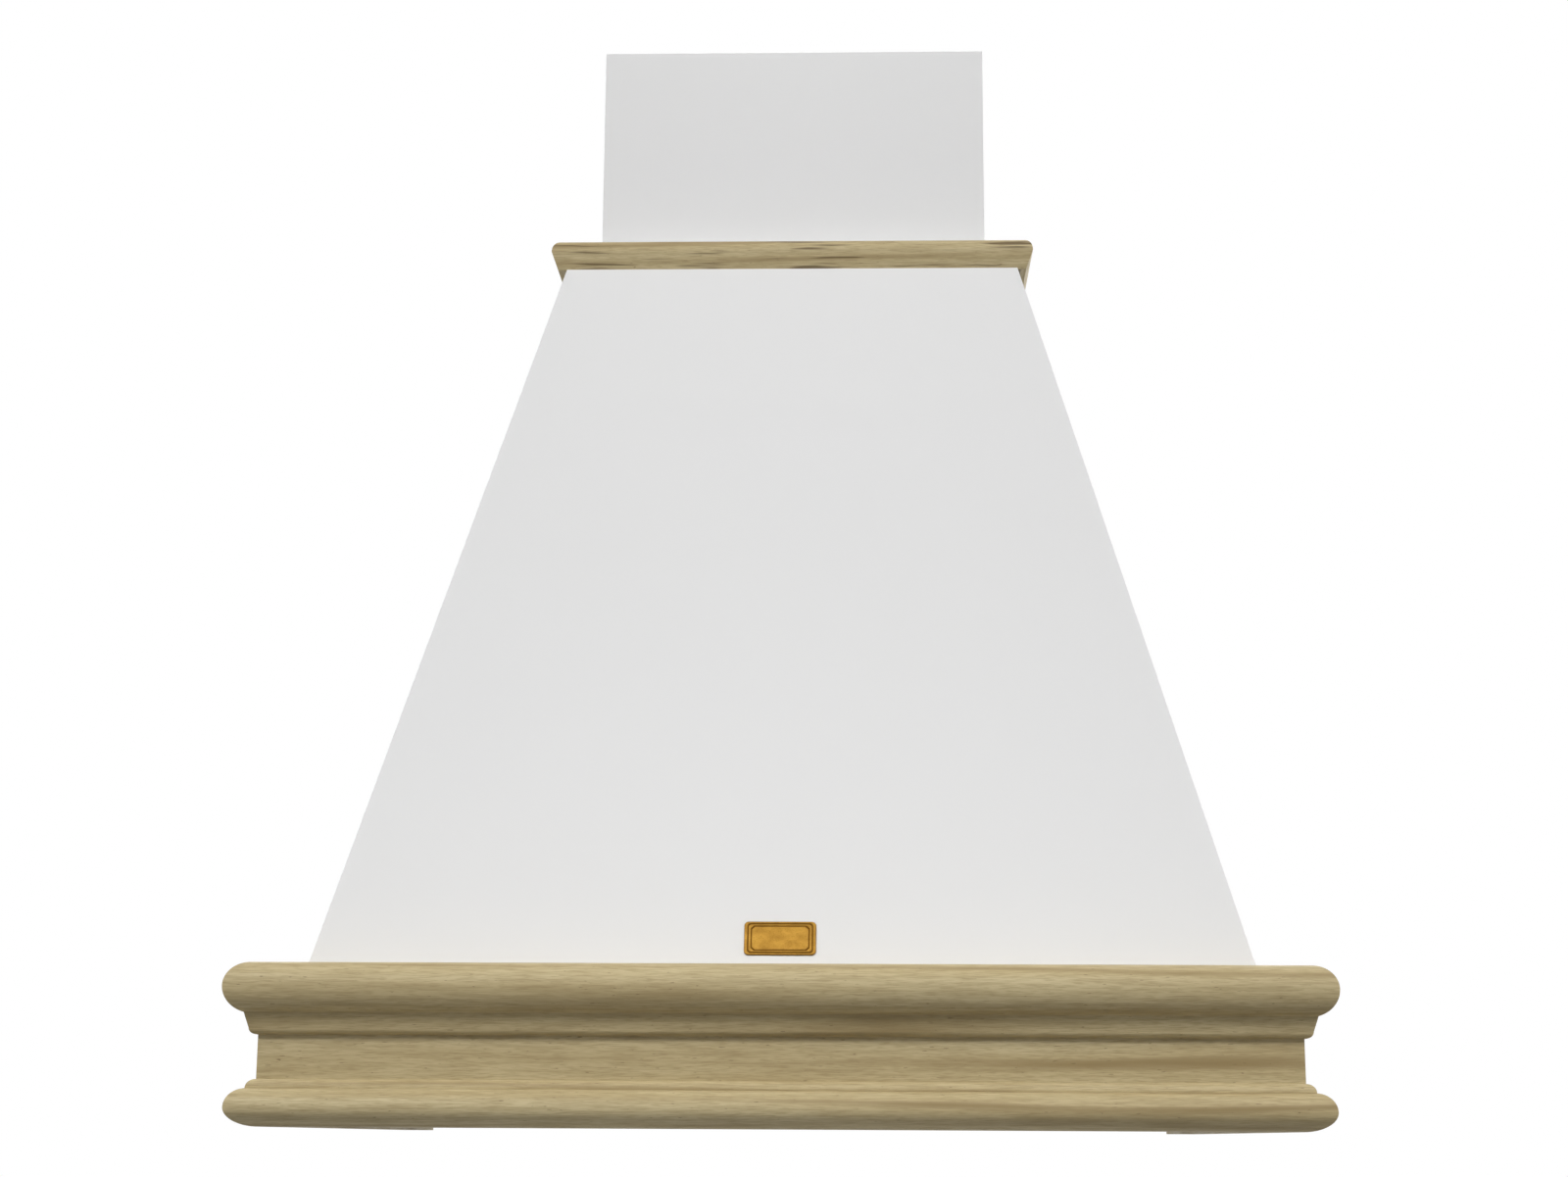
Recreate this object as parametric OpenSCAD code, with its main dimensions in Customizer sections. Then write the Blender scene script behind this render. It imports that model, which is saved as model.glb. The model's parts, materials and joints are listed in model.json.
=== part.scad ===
// Wall-mounted kitchen hood: a painted steel pyramid canopy in a mitred hardwood moulding,
// with a hardwood strip round its top, a sliding chimney cover and a suspended blower.
// +X is to the right as the cook sees it, +Y goes into the wall and +Z is up.
// The origin is the middle of the four wall screws, on the face of the wall.
// Heights in the modules are counted from the underside of the moulding.

/* [Overall] */
// Width over the upper bead of the moulding
hood_w = 600; // [580:1:640]
// Depth from the wall to the front of the upper bead
hood_d = 480; // [470:1:520]
// Height of the canopy between the moulding and the top strip
canopy_h = 464; // [440:1:500]
// Height of the wall screws' middle above the underside
hang_h = 220; // [200:1:240]

/* [Base moulding] */
// Height of the moulding
moulding_h = 88; // [84:0.5:100]
// Thickness of the moulding from the upper bead to its back
moulding_t = 38; // [34:0.5:44]
// Radius of the upper bead
bead_r = 13.4; // [12:0.1:14.5]
// Height of the upper bead's lower half, a little fuller than its radius
bead_under = 14.2; // [13:0.1:15]
// Radius of the lower bead
low_bead_r = 10.2; // [8:0.1:11]
// Width of the flatter round under the lower bead
low_bead_under = 16; // [10:0.5:18]
// How far the lower bead stands back from the upper one
low_bead_set = 2.8; // [0:0.1:5]
// How far the flat frieze stands back from the upper bead
frieze_set = 17; // [15:0.5:20]
// Height of the frieze's upper edge
frieze_top = 49.2; // [46:0.1:52]
// How far the ovolo under the upper bead stands back at its top
ovolo_set = 10; // [8:0.5:11]
// Radius at the foot of that ovolo
ovolo_r = 3.4; // [2:0.1:4.5]
// Radius of the small ovolo above the lower bead
low_ovolo_r = 4.9; // [3:0.1:6]

/* [Top strip] */
// Height of the strip
strip_h = 20; // [18:0.5:26]
// Thickness of the strip
strip_t = 7.7; // [7:0.1:12]
// Width of the rounding at the strip's upper edge
strip_round = 6.7; // [4:0.1:6.9]
// Height of that rounding
strip_round_h = 8.5; // [4:0.5:12]
// How far the strip's face leans in at its foot
strip_lean = 4.2; // [2:0.1:5]
// Air between the canopy's collar and the side strips
strip_air = 7.2; // [4:0.1:10]
// Length of one spacer block behind a side strip
spacer_l = 22; // [15:1:40]

/* [Canopy] */
// Thickness of the canopy's sheet
sheet = 1.2; // [1:0.1:1.5]
// Height of the skirt's lower edge above the underside
skirt_low = 12.8; // [10:0.1:16]
// Width of the flange turned in at the skirt's foot
skirt_flange = 12; // [10:0.5:16]
// Ledge on which the front strip stands
ledge = 4.8; // [3:0.1:7]
// Width of the collar's top flange at the sides
collar_side = 14.2; // [10:0.1:20]
// Width of the collar's top flange at the front
collar_front = 20.5; // [14:0.5:28]
// How far the collar's top lies below the strip's top
collar_down = 2; // [1:0.5:4]

/* [Chimney cover] */
// Width of the chimney cover
chimney_w = 255; // [240:1:270]
// Distance from the wall to the chimney cover's front
chimney_d = 249; // [235:1:260]
// Height of the cover above the top strip
chimney_show = 143.5; // [60:0.5:300]
// Length of the cover inside the canopy
chimney_in = 150; // [100:1:160]
// Thickness of the cover's sheet
chimney_t = 1; // [0.8:0.1:1.5]
// Width of the edges turned in at the wall
chimney_lip = 14; // [10:1:20]
// Gap round the cover where it slides
chimney_gap = 1; // [0.5:0.1:2]
// Gap between the cover and the wall
wall_gap = 2; // [1.5:0.1:4]
// Height of the bracket that fixes the cover to the wall
bracket_h = 28; // [22:1:40]
// Spacing of the bracket's two wall holes
bracket_holes = 160; // [120:1:190]
// Radius of the bracket's wall holes
bracket_hole_r = 2.75; // [2:0.05:3.5]

/* [Back and wall fixing] */
// Least distance of the wall screws from the upper rail's ends
wall_holes_in = 12; // [11:0.5:20]
// Spacing of the wall screws up and down
wall_holes_z = 220; // [200:1:240]
// Radius of the wall screw holes
wall_hole_r = 4.25; // [3:0.05:5]
// Height of a wall rail
rail_h = 40; // [30:1:50]
// Thickness of a wall rail
rail_t = 3; // [2:0.1:4]
// Depth of the back panel's side flanges
back_flange = 15; // [12:1:20]

/* [Base pan] */
// Height of the pan's turned-up edge
pan_edge = 11; // [8:1:14]
// Gap between the pan and what surrounds it
pan_gap = 0.3; // [0.2:0.1:0.6]

/* [Grease filters] */
// Distance of the cassettes from the hood's sides
filter_side = 64; // [58:1:80]
// Distance of the cassettes from the hood's front
filter_front = 154; // [150:1:170]
// Thickness of a cassette
filter_t = 9; // [8.5:0.5:12]
// Thickness of the cassette's frame sheet
filter_sheet = 0.8; // [0.6:0.1:1]
// Width of the frame seen from below
filter_rim = 14; // [10:1:18]
// Gap between a cassette and its opening
filter_gap = 1.8; // [1.6:0.1:2.2]
// Distance between the two cassettes
filter_between = 24; // [22:1:30]
// Distance from the wall to the cassettes' rear edge
filter_back = 50; // [40:1:56]
// Radius of the hinge pins
hinge_pin_r = 2; // [1.5:0.1:2.5]
// Distance of the hinge pins from the rear edge
hinge_in = 4; // [3.5:0.1:4.5]
// Running clearance of the hinge pins
hinge_play = 0.06; // [0.04:0.01:0.1]
// Angle to which a cassette swings down
filter_open = 85; // [45:1:90]
// Pitch of the mesh's crimps
mesh_pitch = 8; // [6:1:14]
// Thickness of the mesh's layers
mesh_t = 0.9; // [0.6:0.1:1.5]
// Width of the latch slide
latch_w = 40; // [30:1:60]
// Length of the latch slide in the cassette
latch_l = 21; // [18:1:24]
// How far the latch's nose reaches over the pan
latch_nose = 4.6; // [4:0.1:5]
// Travel of the latch
latch_travel = 6; // [5.5:0.1:7]

/* [Lamps] */
// Distance of each lamp from the hood's side
lamp_side = 110; // [100:1:130]
// Distance of the lamps from the hood's front
lamp_front = 95; // [84:1:100]
// Radius of the lamp's lens
lens_r = 24; // [20:0.5:26]
// Width of the ring round the lens
bezel_w = 7; // [5:0.5:9]
// Height of the lamp's body above the pan
lamp_h = 30; // [20:1:40]

/* [Controls] */
// Distance of the push buttons from the hood's front
button_front = 92; // [85:1:100]
// Spacing of the push buttons
button_pitch = 26; // [22:1:30]
// Radius of a push button
button_r = 7; // [5:0.1:8]
// Travel of a push button
button_travel = 3; // [2:0.1:4]
// Height of the switch block
switch_h = 25; // [20:1:35]

/* [Blower] */
// Depth of the mounting plate's underside below the strip
plate_drop = 176; // [170:1:190]
// Width of the mounting plate
plate_w = 300; // [280:1:320]
// Length of the mounting plate from the wall
plate_l = 300; // [280:1:320]
// Distance of the air outlet's middle from the wall
outlet_y = 130; // [120:1:136]
// Depth of the rotor's axis below the mounting plate
shaft_drop = 126; // [116:1:140]
// Distance from the outlet's middle to the rotor's axis
shaft_front = 71; // [68:1:74]
// Radius of the rotor
rotor_r = 75; // [65:1:78]
// Width of the rotor
rotor_w = 120; // [90:1:130]
// Number of blades
blades = 36; // [20:1:48]
// Largest radius of the scroll
scroll_r = 128; // [124:1:130]
// Radius of the scroll at its tongue
scroll_tongue = 92; // [88:1:96]
// Width of the scroll across the rotor's axis
scroll_w = 152; // [140:1:170]
// Thickness of the scroll's wall
scroll_t = 2.5; // [2:0.1:3]
// Radius of the air inlets
inlet_r = 64; // [56:1:68]
// Radius of the motor
motor_r = 46; // [38:1:50]
// Radius of the shaft
shaft_r = 4; // [3:0.5:6]
// Running clearance of the shaft in the motor
shaft_play = 0.05; // [0.03:0.01:0.09]

/* [Air outlet] */
// Outer radius of the duct collar
collar_r = 74.5; // [60:0.5:76]
// Wall of the duct collar
collar_t = 3; // [2:0.1:4]
// Height of the duct collar above the mounting plate
collar_h = 52; // [45:1:60]
// Thickness of a flap
flap_t = 1.5; // [1:0.1:2]
// Radius of the flaps' pin
flap_pin_r = 1.5; // [1:0.1:2]
// Angle to which a flap opens
flap_open = 75; // [60:1:78]

/* [Electrical parts] */
// Width of the terminal box
box_w = 80; // [60:1:90]
// Height of the terminal box
box_h = 60; // [50:1:70]
// Depth of the terminal box
box_d = 38; // [30:1:45]
// Radius of the cable gland's hole
gland_r = 4; // [3:0.1:5]
// Radius of the capacitor
cap_r = 15; // [12:0.5:18]
// Length of the capacitor
cap_l = 58; // [40:1:60]
// Radius of the wiring loom
loom_r = 3; // [2:0.1:4]

/* [Nameplate] */
// Width of the nameplate
badge_w = 40; // [30:1:60]
// Height of the nameplate
badge_h = 20; // [14:1:26]
// Thickness of the nameplate
badge_t = 1; // [0.6:0.1:1.5]
// Distance from the moulding up the canopy to the nameplate's middle
badge_up = 16.7; // [15:0.1:60]

/* [Hidden] */
$fn = 64;

// Fits and small details: eps only makes cuts run past a face
eps = 1;
slip = 0.3;
close_fit = 0.1;
screw_play = 0.15;
screw_r = 1.75;
screw_head_r = 4;
small_head_r = 3.5;
screw_head_h = 2.2;
groove = 0.35;
badge_corner = 2;
badge_border = 1.2;
badge_line = 0.4;

// Lengths of the screws, and how much deeper a blind hole goes than its screw
wood_screw_l = 16;
strip_screw_l = 5;
pan_screw_l = 6;
blower_screw_l = 10;
seam_screw_l = 6;
hole_spare = 0.4;

// Heights above the underside
foot_z = moulding_h;
strip_z = foot_z + canopy_h;
strip_top = strip_z + strip_h;
collar_top = strip_top - collar_down;
chimney_low = strip_z - chimney_in;
chimney_top = strip_top + chimney_show;
pan_z = skirt_low + sheet;
plate_z = strip_z - plate_drop;
plate_top = plate_z + sheet;
shaft_z = plate_z - shaft_drop;
shaft_y = -outlet_y - shaft_front;
rail_low_z = hang_h - wall_holes_z / 2;
rail_high_z = hang_h + wall_holes_z / 2;

// Half widths and depths of the canopy
skirt_x = hood_w / 2 - moulding_t;
skirt_d = hood_d - moulding_t;
collar_x = chimney_w / 2 + chimney_gap + collar_side;
collar_d = chimney_d + chimney_gap + collar_front;
top_x = collar_x + ledge;
top_d = collar_d + ledge;
strip_x = collar_x + strip_air + strip_t;
strip_d = collar_d + strip_t;
side_slope = atan((skirt_x - top_x) / canopy_h);
front_slope = atan((skirt_d - top_d) / canopy_h);

// Inner half width of the canopy at a height
function inside_x(z) = z < foot_z
  ? skirt_x - sheet
  : skirt_x - sheet / cos(side_slope) - (z - foot_z) * tan(side_slope);

// Half length of a wall rail at a height, and the screws' spacing in whole centimetres
function rail_x(z) = inside_x(z + rail_h / 2) - pan_gap - sheet - slip;
wall_holes_x = 10 * floor((rail_x(rail_high_z) - wall_holes_in) / 5);

// Where the inside of a sloping wall meets the inside of the skirt
side_bend = foot_z - sheet * tan(side_slope / 2);
front_bend = foot_z - sheet * tan(front_slope / 2);

// Filters: their size, left and right middles, and the hinge line
filter_w = hood_w / 2 - filter_side - filter_between / 2;
filter_l = hood_d - filter_front - filter_back;
filter_mid = filter_between / 2 + filter_w / 2;
filter_front_y = -filter_back - filter_l;
filter_z = pan_z;
filter_wall = 8;
hinge_y = -filter_back - hinge_in;
hinge_z = filter_z + 5;
hinge_pin_l = 4.5;
ear_t = 1.5;
ear_l = 12;
ear_foot = 7;
ear_gap = 0.2;
latch_low = filter_z + filter_sheet + slip;
latch_top = latch_low + 2.9;
nose_low = pan_z + sheet + slip;
thumb_w = 18;
thumb_y = 9;
thumb_t = 6;
thumb_down = 2.2;
pocket_w = latch_w + 12;
pocket_l = latch_l + latch_travel + 8;

// Controls
plate_thick = 1.8;
button_y = hood_d - button_front;
switch_rim = 5;
switch_cut_w = 4 * button_pitch + 3.7 * button_r;
switch_cut_d = 2 * button_r + 6;
switch_w = switch_cut_w + 2 * switch_rim;
switch_d = switch_cut_d + 14;
switch_low = pan_z + sheet + 5.5;
stem_r = 3;
stem_top = pan_z + 12.5;
button_proud = 0.6;
button_flange = 1.4;

// Lamps
lamp_x = hood_w / 2 - lamp_side;
lamp_y = hood_d - lamp_front;
lamp_hole_r = lens_r + 3;
lamp_rim = 1.5;
lamp_tube = 9;
lens_set = 0.6;
lens_t = 3;
lamp_wall = 5;
lamp_low = pan_z + sheet + close_fit;
lamp_cap = 6;
lamp_top = lamp_low + lamp_h + lamp_cap;

// Blower
throat_l = 114;
throat_front = shaft_y + scroll_r - throat_l;
throat_back = shaft_y + scroll_r;
blower_screw_x = scroll_w / 2 + 9;
blower_screw_y = 66;
scroll_flange = 18;
scroll_flange_t = 3;
seam_w = 9;
seam_t = 2;
hub_r = shaft_r + 6;
hub_l = 16;
hub_fit = 0.02;
motor_low_x = 14;
bracket_t = 2;
tongue_a = acos((throat_front - shaft_y) / scroll_tongue);
collar_in = collar_r - collar_t;
collar_flange_t = 3;
collar_z = plate_top + collar_flange_t;
flap_z = collar_z + 16;
flap_ledge = 3;
flap_down = 2.2;
flap_gap = 0.7;
flap_r = collar_in - flap_gap;
flap_pin_fit = 0.05;
flap_play = 0.08;
knuckle_r = 3;
knuckle_gap = 0.6;
duct_flange = 17;
box_wall = 2;
plate_lip = 22;
box_x = -box_w / 2;
box_z = plate_z + plate_lip + 4;
cap_side = 175;
cap_x = hood_w / 2 - cap_side;

// Chimney bracket
chimney_bracket_t = 1.5;
chimney_screw_in = 26;
bracket_leg = chimney_screw_in + 12;
chimney_screw_y = -wall_gap - chimney_screw_in;
chimney_screw_z = chimney_top - bracket_h / 2 - 4;

// Lifts what is drawn from the underside into the hood's frame
module from_underside() translate([0, 0, -hang_h]) children();

// A plate whose outline lies in X and Z, between y0 and y1
module xz_plate(y0, y1)
  translate([0, y1, 0]) rotate([90, 0, 0]) linear_extrude(y1 - y0) children();

// A bar whose outline lies in Y and Z, between x0 and x1
module yz_bar(x0, x1)
  translate([x0, 0, 0]) rotate([90, 0, 90]) linear_extrude(x1 - x0) children();

// A flat plate whose outline lies in X and Y, between z0 and z1
module xy_plate(z0, z1) translate([0, 0, z0]) linear_extrude(z1 - z0) children();

// A box from one corner to the opposite one
module block(a, b) translate(a) cube(b - a);

// Cylinders along each axis, centred on a point at their lower end
module rod_x(p, r, l) translate(p) rotate([0, 90, 0]) cylinder(h = l, r = r);
module rod_y(p, r, l) translate(p) rotate([-90, 0, 0]) cylinder(h = l, r = r);
module rod_z(p, r, l) translate(p) cylinder(h = l, r = r);

// A rectangle with round corners, centred
module round_rect(w, h, r) {
  square([w - 2 * r, h], center = true);
  square([w, h - 2 * r], center = true);
  for (x = [-1, 1], y = [-1, 1]) translate([x * (w / 2 - r), y * (h / 2 - r)]) circle(r);
}

// A screw whose head's underside is at the origin and whose shank goes up
module screw(r, l, head_r, head_h) {
  cylinder(h = l, r = r);
  difference() {
    translate([0, 0, -head_h]) cylinder(h = head_h, r = head_r);
    for (a = [0, 90]) rotate(a)
      translate([-head_r * 0.6, -0.5, -head_h - eps]) cube([head_r * 1.2, 1, eps + head_h * 0.45]);
  }
}

// A screw's hole through the sheet that its head lies under
module sheet_hole()
  translate([0, 0, -eps]) cylinder(h = sheet + 2 * eps, r = screw_r + screw_play);

// Section of the moulding: x goes in from the upper bead, y goes up from the underside
module moulding_section() {
  bead_y = moulding_h - bead_r;
  under_bead = bead_y - bead_under;
  ovolo_x = frieze_set - 1;
  translate([frieze_set, 0]) square([moulding_t - frieze_set, moulding_h]);
  translate([bead_r, under_bead]) square([moulding_t - bead_r, bead_r + bead_under]);
  intersection() {
    translate([bead_r, bead_y]) circle(bead_r);
    translate([0, bead_y]) square(bead_r);
  }
  intersection() {
    translate([bead_r, bead_y]) scale([1, bead_under / bead_r]) circle(bead_r);
    translate([0, under_bead]) square([bead_r, bead_under]);
  }
  polygon([
    [ovolo_set, under_bead + 1], [ovolo_x - ovolo_r, frieze_top + ovolo_r],
    [moulding_t, frieze_top + ovolo_r], [moulding_t, under_bead + 1]
  ]);
  translate([ovolo_x, frieze_top + ovolo_r]) circle(ovolo_r);
  translate([ovolo_x, frieze_top]) square([moulding_t - ovolo_x, ovolo_r]);
  translate([frieze_set, 2 * low_bead_r]) circle(low_ovolo_r);
  low_x = low_bead_set + low_bead_r;
  under_x = low_bead_set + low_bead_under;
  translate([low_x, low_bead_r]) square([moulding_t - low_x, low_bead_r]);
  translate([under_x, 0]) square([moulding_t - under_x, low_bead_r]);
  intersection() {
    translate([low_x, low_bead_r]) circle(low_bead_r);
    translate([low_bead_set, low_bead_r]) square(low_bead_r);
  }
  intersection() {
    translate([under_x, low_bead_r]) scale([low_bead_under / low_bead_r, 1]) circle(low_bead_r);
    translate([low_bead_set, 0]) square([low_bead_under, low_bead_r]);
  }
}

// Section of the top strip: x goes in from its widest line, y goes up from its foot
module strip_section() {
  straight = strip_h - strip_round_h;
  difference() {
    polygon([[strip_lean, 0], [0, straight], [0, strip_h], [strip_t, strip_h], [strip_t, 0]]);
    difference() {
      translate([-eps, straight]) square([strip_round + eps, strip_round_h + eps]);
      translate([strip_round, straight]) scale([1, strip_round_h / strip_round]) circle(strip_round);
    }
  }
}

// Plan of a front board of half length x and depth d, mitred over a thickness
module front_plan(x, d, t)
  polygon([[-x, -d], [x, -d], [x - t, -d + t], [-x + t, -d + t]]);

// Plan of the right-hand board that meets it
module side_plan(x, d, t) polygon([[x, -d], [x, 0], [x - t, 0], [x - t, -d + t]]);

// Places of the screws that hold the moulding to the skirt, as x, y and the direction
moulding_screw_z = (frieze_top + 2 * low_bead_r + low_ovolo_r) / 2;
moulding_screw_front = [-hood_w / 3, -hood_w / 9, hood_w / 9, hood_w / 3];
moulding_screw_in = 100;
moulding_screw_side = [-moulding_screw_in, -skirt_d + 1.2 * moulding_screw_in];

module at_moulding_screws() {
  for (x = moulding_screw_front)
    translate([x, -skirt_d + sheet, moulding_screw_z]) rotate([90, 0, 0]) children();
  for (s = [-1, 1], y = moulding_screw_side)
    translate([s * (skirt_x - sheet), y, moulding_screw_z]) rotate([0, s * 90, 0]) children();
}

// Places of the screws that hold the top strip to the collar
strip_screw_z = strip_z + strip_h * 0.45;
strip_screw_in = 60;
strip_screw_front = [-1, 0, 1] * (collar_x - strip_screw_in + collar_side);
strip_screw_side = [-strip_screw_in, -collar_d + strip_screw_in];

module at_strip_front_screws()
  for (x = strip_screw_front)
    translate([x, -collar_d + sheet, strip_screw_z]) rotate([90, 0, 0]) children();

module at_strip_side_screws(s)
  for (y = strip_screw_side)
    translate([s * (collar_x - sheet), y, strip_screw_z]) rotate([0, s * 90, 0]) children();

// Places of the pan's screws in the skirt's flange, with their heads below
module at_pan_screws() {
  in = skirt_flange / 2 + sheet;
  for (x = [-1, 1] * hood_w / 4) translate([x, -skirt_d + in, skirt_low]) children();
  for (s = [-1, 1], y = [-60, -hood_d / 2, -hood_d + 80])
    translate([s * (skirt_x - in), y, skirt_low]) children();
}

// Places of the blower's screws through the mounting plate
module at_blower_screws()
  for (x = [-1, 1], y = [-1, 1])
    translate([x * blower_screw_x, -outlet_y + y * blower_screw_y, plate_top]) children();

module blower_screw_holes()
  at_blower_screws() translate([0, 0, -blower_screw_l])
    cylinder(h = 2 * blower_screw_l, r = screw_r + screw_play);

// Places of the screws round the scroll's seam
seam_angles = [20, 75, 130, 185, 240];
module at_seam_screws()
  for (a = seam_angles)
    let (r = scroll_at(a) + seam_w / 2)
      translate([0, shaft_y + r * cos(a), shaft_z - r * sin(a)]) children();

// Radius of the scroll at an angle turned down from the rear
function scroll_at(a) = scroll_r - (scroll_r - scroll_tongue) * a / (360 - tongue_a);

// Outline of the scroll in Y and Z, grown or shrunk by an offset
module scroll_outline(grow = 0, top = 0) {
  turn = 360 - tongue_a;
  steps = 40;
  polygon(concat(
    [for (i = [0 : steps]) let (a = turn * i / steps)
      [shaft_y + (scroll_at(a) + grow) * cos(a), shaft_z - (scroll_at(a) + grow) * sin(a)]],
    [[throat_front - grow, plate_z + top], [throat_back + grow, plate_z + top]]
  ));
}

module moulding_front() color([0.66, 0.59, 0.44]) from_underside()
  difference() {
    intersection() {
      yz_bar(-hood_w / 2, hood_w / 2) translate([-hood_d, 0]) moulding_section();
      xy_plate(-eps, moulding_h + eps) front_plan(hood_w / 2, hood_d, moulding_t);
    }
    at_moulding_screws() cylinder(h = wood_screw_l + hole_spare, r = screw_r + screw_play);
  }

module moulding_side() from_underside()
  difference() {
    intersection() {
      xz_plate(-hood_d, 0) translate([hood_w / 2, 0]) mirror([1, 0]) moulding_section();
      xy_plate(-eps, moulding_h + eps) side_plan(hood_w / 2, hood_d, moulding_t);
    }
    at_moulding_screws() cylinder(h = wood_screw_l + hole_spare, r = screw_r + screw_play);
  }

module moulding_right() color([0.66, 0.59, 0.44]) moulding_side();
module moulding_left() color([0.66, 0.59, 0.44]) mirror([1, 0, 0]) moulding_side();

module strip_front() color([0.62, 0.55, 0.42]) from_underside()
  difference() {
    intersection() {
      yz_bar(-strip_x, strip_x) translate([-strip_d, strip_z]) strip_section();
      xy_plate(strip_z - eps, strip_top + eps) front_plan(strip_x, strip_d, strip_t);
    }
    at_strip_front_screws() cylinder(h = strip_screw_l + hole_spare, r = screw_r + screw_play);
  }

module strip_side() from_underside()
  difference() {
    intersection() {
      xz_plate(-strip_d, 0) translate([strip_x, strip_z]) mirror([1, 0]) strip_section();
      xy_plate(strip_z - eps, strip_top + eps) side_plan(strip_x, strip_d, strip_t);
    }
    at_strip_side_screws(1)
      cylinder(h = strip_air + strip_screw_l + hole_spare, r = screw_r + screw_play);
  }

module strip_right() color([0.62, 0.55, 0.42]) strip_side();
module strip_left() color([0.62, 0.55, 0.42]) mirror([1, 0, 0]) strip_side();

// Blocks that carry the side strips off the collar
module strip_spacers() color([0.6, 0.5, 0.36]) from_underside()
  for (s = [-1, 1]) difference() {
    for (y = strip_screw_side)
      translate([s * (collar_x + strip_air / 2), y, strip_screw_z])
        cube([strip_air, spacer_l, strip_h * 0.55], center = true);
    at_strip_side_screws(s) cylinder(h = strip_air + 2 * sheet + eps, r = screw_r + screw_play);
  }

// Outline of the canopy across, with its inside when t is the sheet
module canopy_across(t) {
  x = skirt_x - t;
  lean = t / cos(side_slope);
  bend = t > 0 ? side_bend : foot_z;
  low = t > 0 ? skirt_low + sheet : skirt_low;
  cx = collar_x - t;
  cz = collar_top - t;
  tx = top_x - lean + t * tan(side_slope);
  polygon([
    [-x, low], [x, low], [x, bend], [tx, strip_z - t], [cx, strip_z - t], [cx, cz],
    [-cx, cz], [-cx, strip_z - t], [-tx, strip_z - t], [-x, bend]
  ]);
}

// Outline of the canopy from front to back
module canopy_along(t) {
  d = skirt_d - t;
  lean = t / cos(front_slope);
  bend = t > 0 ? front_bend : foot_z;
  low = t > 0 ? skirt_low + sheet : skirt_low;
  cd = collar_d - t;
  td = top_d - lean + t * tan(front_slope);
  back = t > 0 ? eps : 0;
  polygon([
    [back, low], [-d, low], [-d, bend], [-td, strip_z - t], [-cd, strip_z - t],
    [-cd, collar_top - t], [back, collar_top - t]
  ]);
}

module canopy() color([0.87, 0.87, 0.87]) from_underside()
  difference() {
    intersection() {
      xz_plate(-skirt_d - eps, 0) canopy_across(0);
      yz_bar(-skirt_x - eps, skirt_x + eps) canopy_along(0);
    }
    intersection() {
      xz_plate(-skirt_d - eps, eps) canopy_across(sheet);
      yz_bar(-skirt_x - eps, skirt_x + eps) canopy_along(sheet);
    }
    in = sheet + skirt_flange;
    block([-skirt_x + in, -skirt_d + in, skirt_low - eps], [skirt_x - in, eps, pan_z + eps]);
    cx = chimney_w / 2 + chimney_gap;
    block([-cx, -chimney_d - chimney_gap, collar_top - 2 * sheet], [cx, eps, collar_top + eps]);
    at_moulding_screws() sheet_hole();
    at_strip_front_screws() sheet_hole();
    for (s = [-1, 1]) at_strip_side_screws(s) sheet_hole();
    at_pan_screws() sheet_hole();
  }

// Outline of the back panel, inside the canopy's walls and moved in by a gap
module back_outline(gap) {
  z1 = strip_z - sheet - pan_gap;
  polygon([
    [-inside_x(0) + gap, pan_z], [inside_x(0) - gap, pan_z], [inside_x(0) - gap, side_bend],
    [inside_x(z1) - gap, z1], [-inside_x(z1) + gap, z1], [-inside_x(0) + gap, side_bend]
  ]);
}

module at_wall_screws()
  for (x = [-1, 1], z = [rail_low_z, rail_high_z])
    translate([x * wall_holes_x / 2, 0, z]) rotate([90, 0, 0]) children();

module back_panel() color([0.78, 0.79, 0.8]) from_underside()
  difference() {
    union() {
      xz_plate(-sheet, 0) back_outline(pan_gap);
      xz_plate(-sheet - back_flange, -sheet / 2) difference() {
        back_outline(pan_gap);
        back_outline(pan_gap + sheet);
        block2(-skirt_x, -eps, skirt_x, pan_z + pan_edge + 2);
        z1 = strip_z - 2 * sheet - 1;
        block2(-skirt_x, z1, skirt_x, strip_z);
      }
    }
    at_wall_screws() translate([0, 0, -eps]) cylinder(h = sheet + 2 * eps, r = wall_hole_r);
  }

// A rectangle from one corner to the opposite one
module block2(x0, z0, x1, z1) translate([x0, z0]) square([x1 - x0, z1 - z0]);

module wall_rail(z) {
  x = rail_x(z);
  difference() {
    xz_plate(-sheet - rail_t, -sheet) block2(-x, z - rail_h / 2, x, z + rail_h / 2);
    at_wall_screws() cylinder(h = sheet + rail_t + eps, r = wall_hole_r);
  }
}

module upper_wall_rail() color([0.7, 0.71, 0.73]) from_underside() wall_rail(rail_high_z);
module lower_wall_rail() color([0.7, 0.71, 0.73]) from_underside() wall_rail(rail_low_z);

// Openings of the pan, seen from above
module pan_holes() {
  for (s = [-1, 1]) {
    translate([s * filter_mid, filter_front_y + filter_l / 2])
      square([filter_w + 2 * filter_gap, filter_l + 2 * filter_gap], center = true);
    translate([s * lamp_x, -lamp_y]) circle(lamp_hole_r);
  }
  translate([0, -button_y]) square([switch_cut_w, switch_cut_d], center = true);
}

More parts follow.
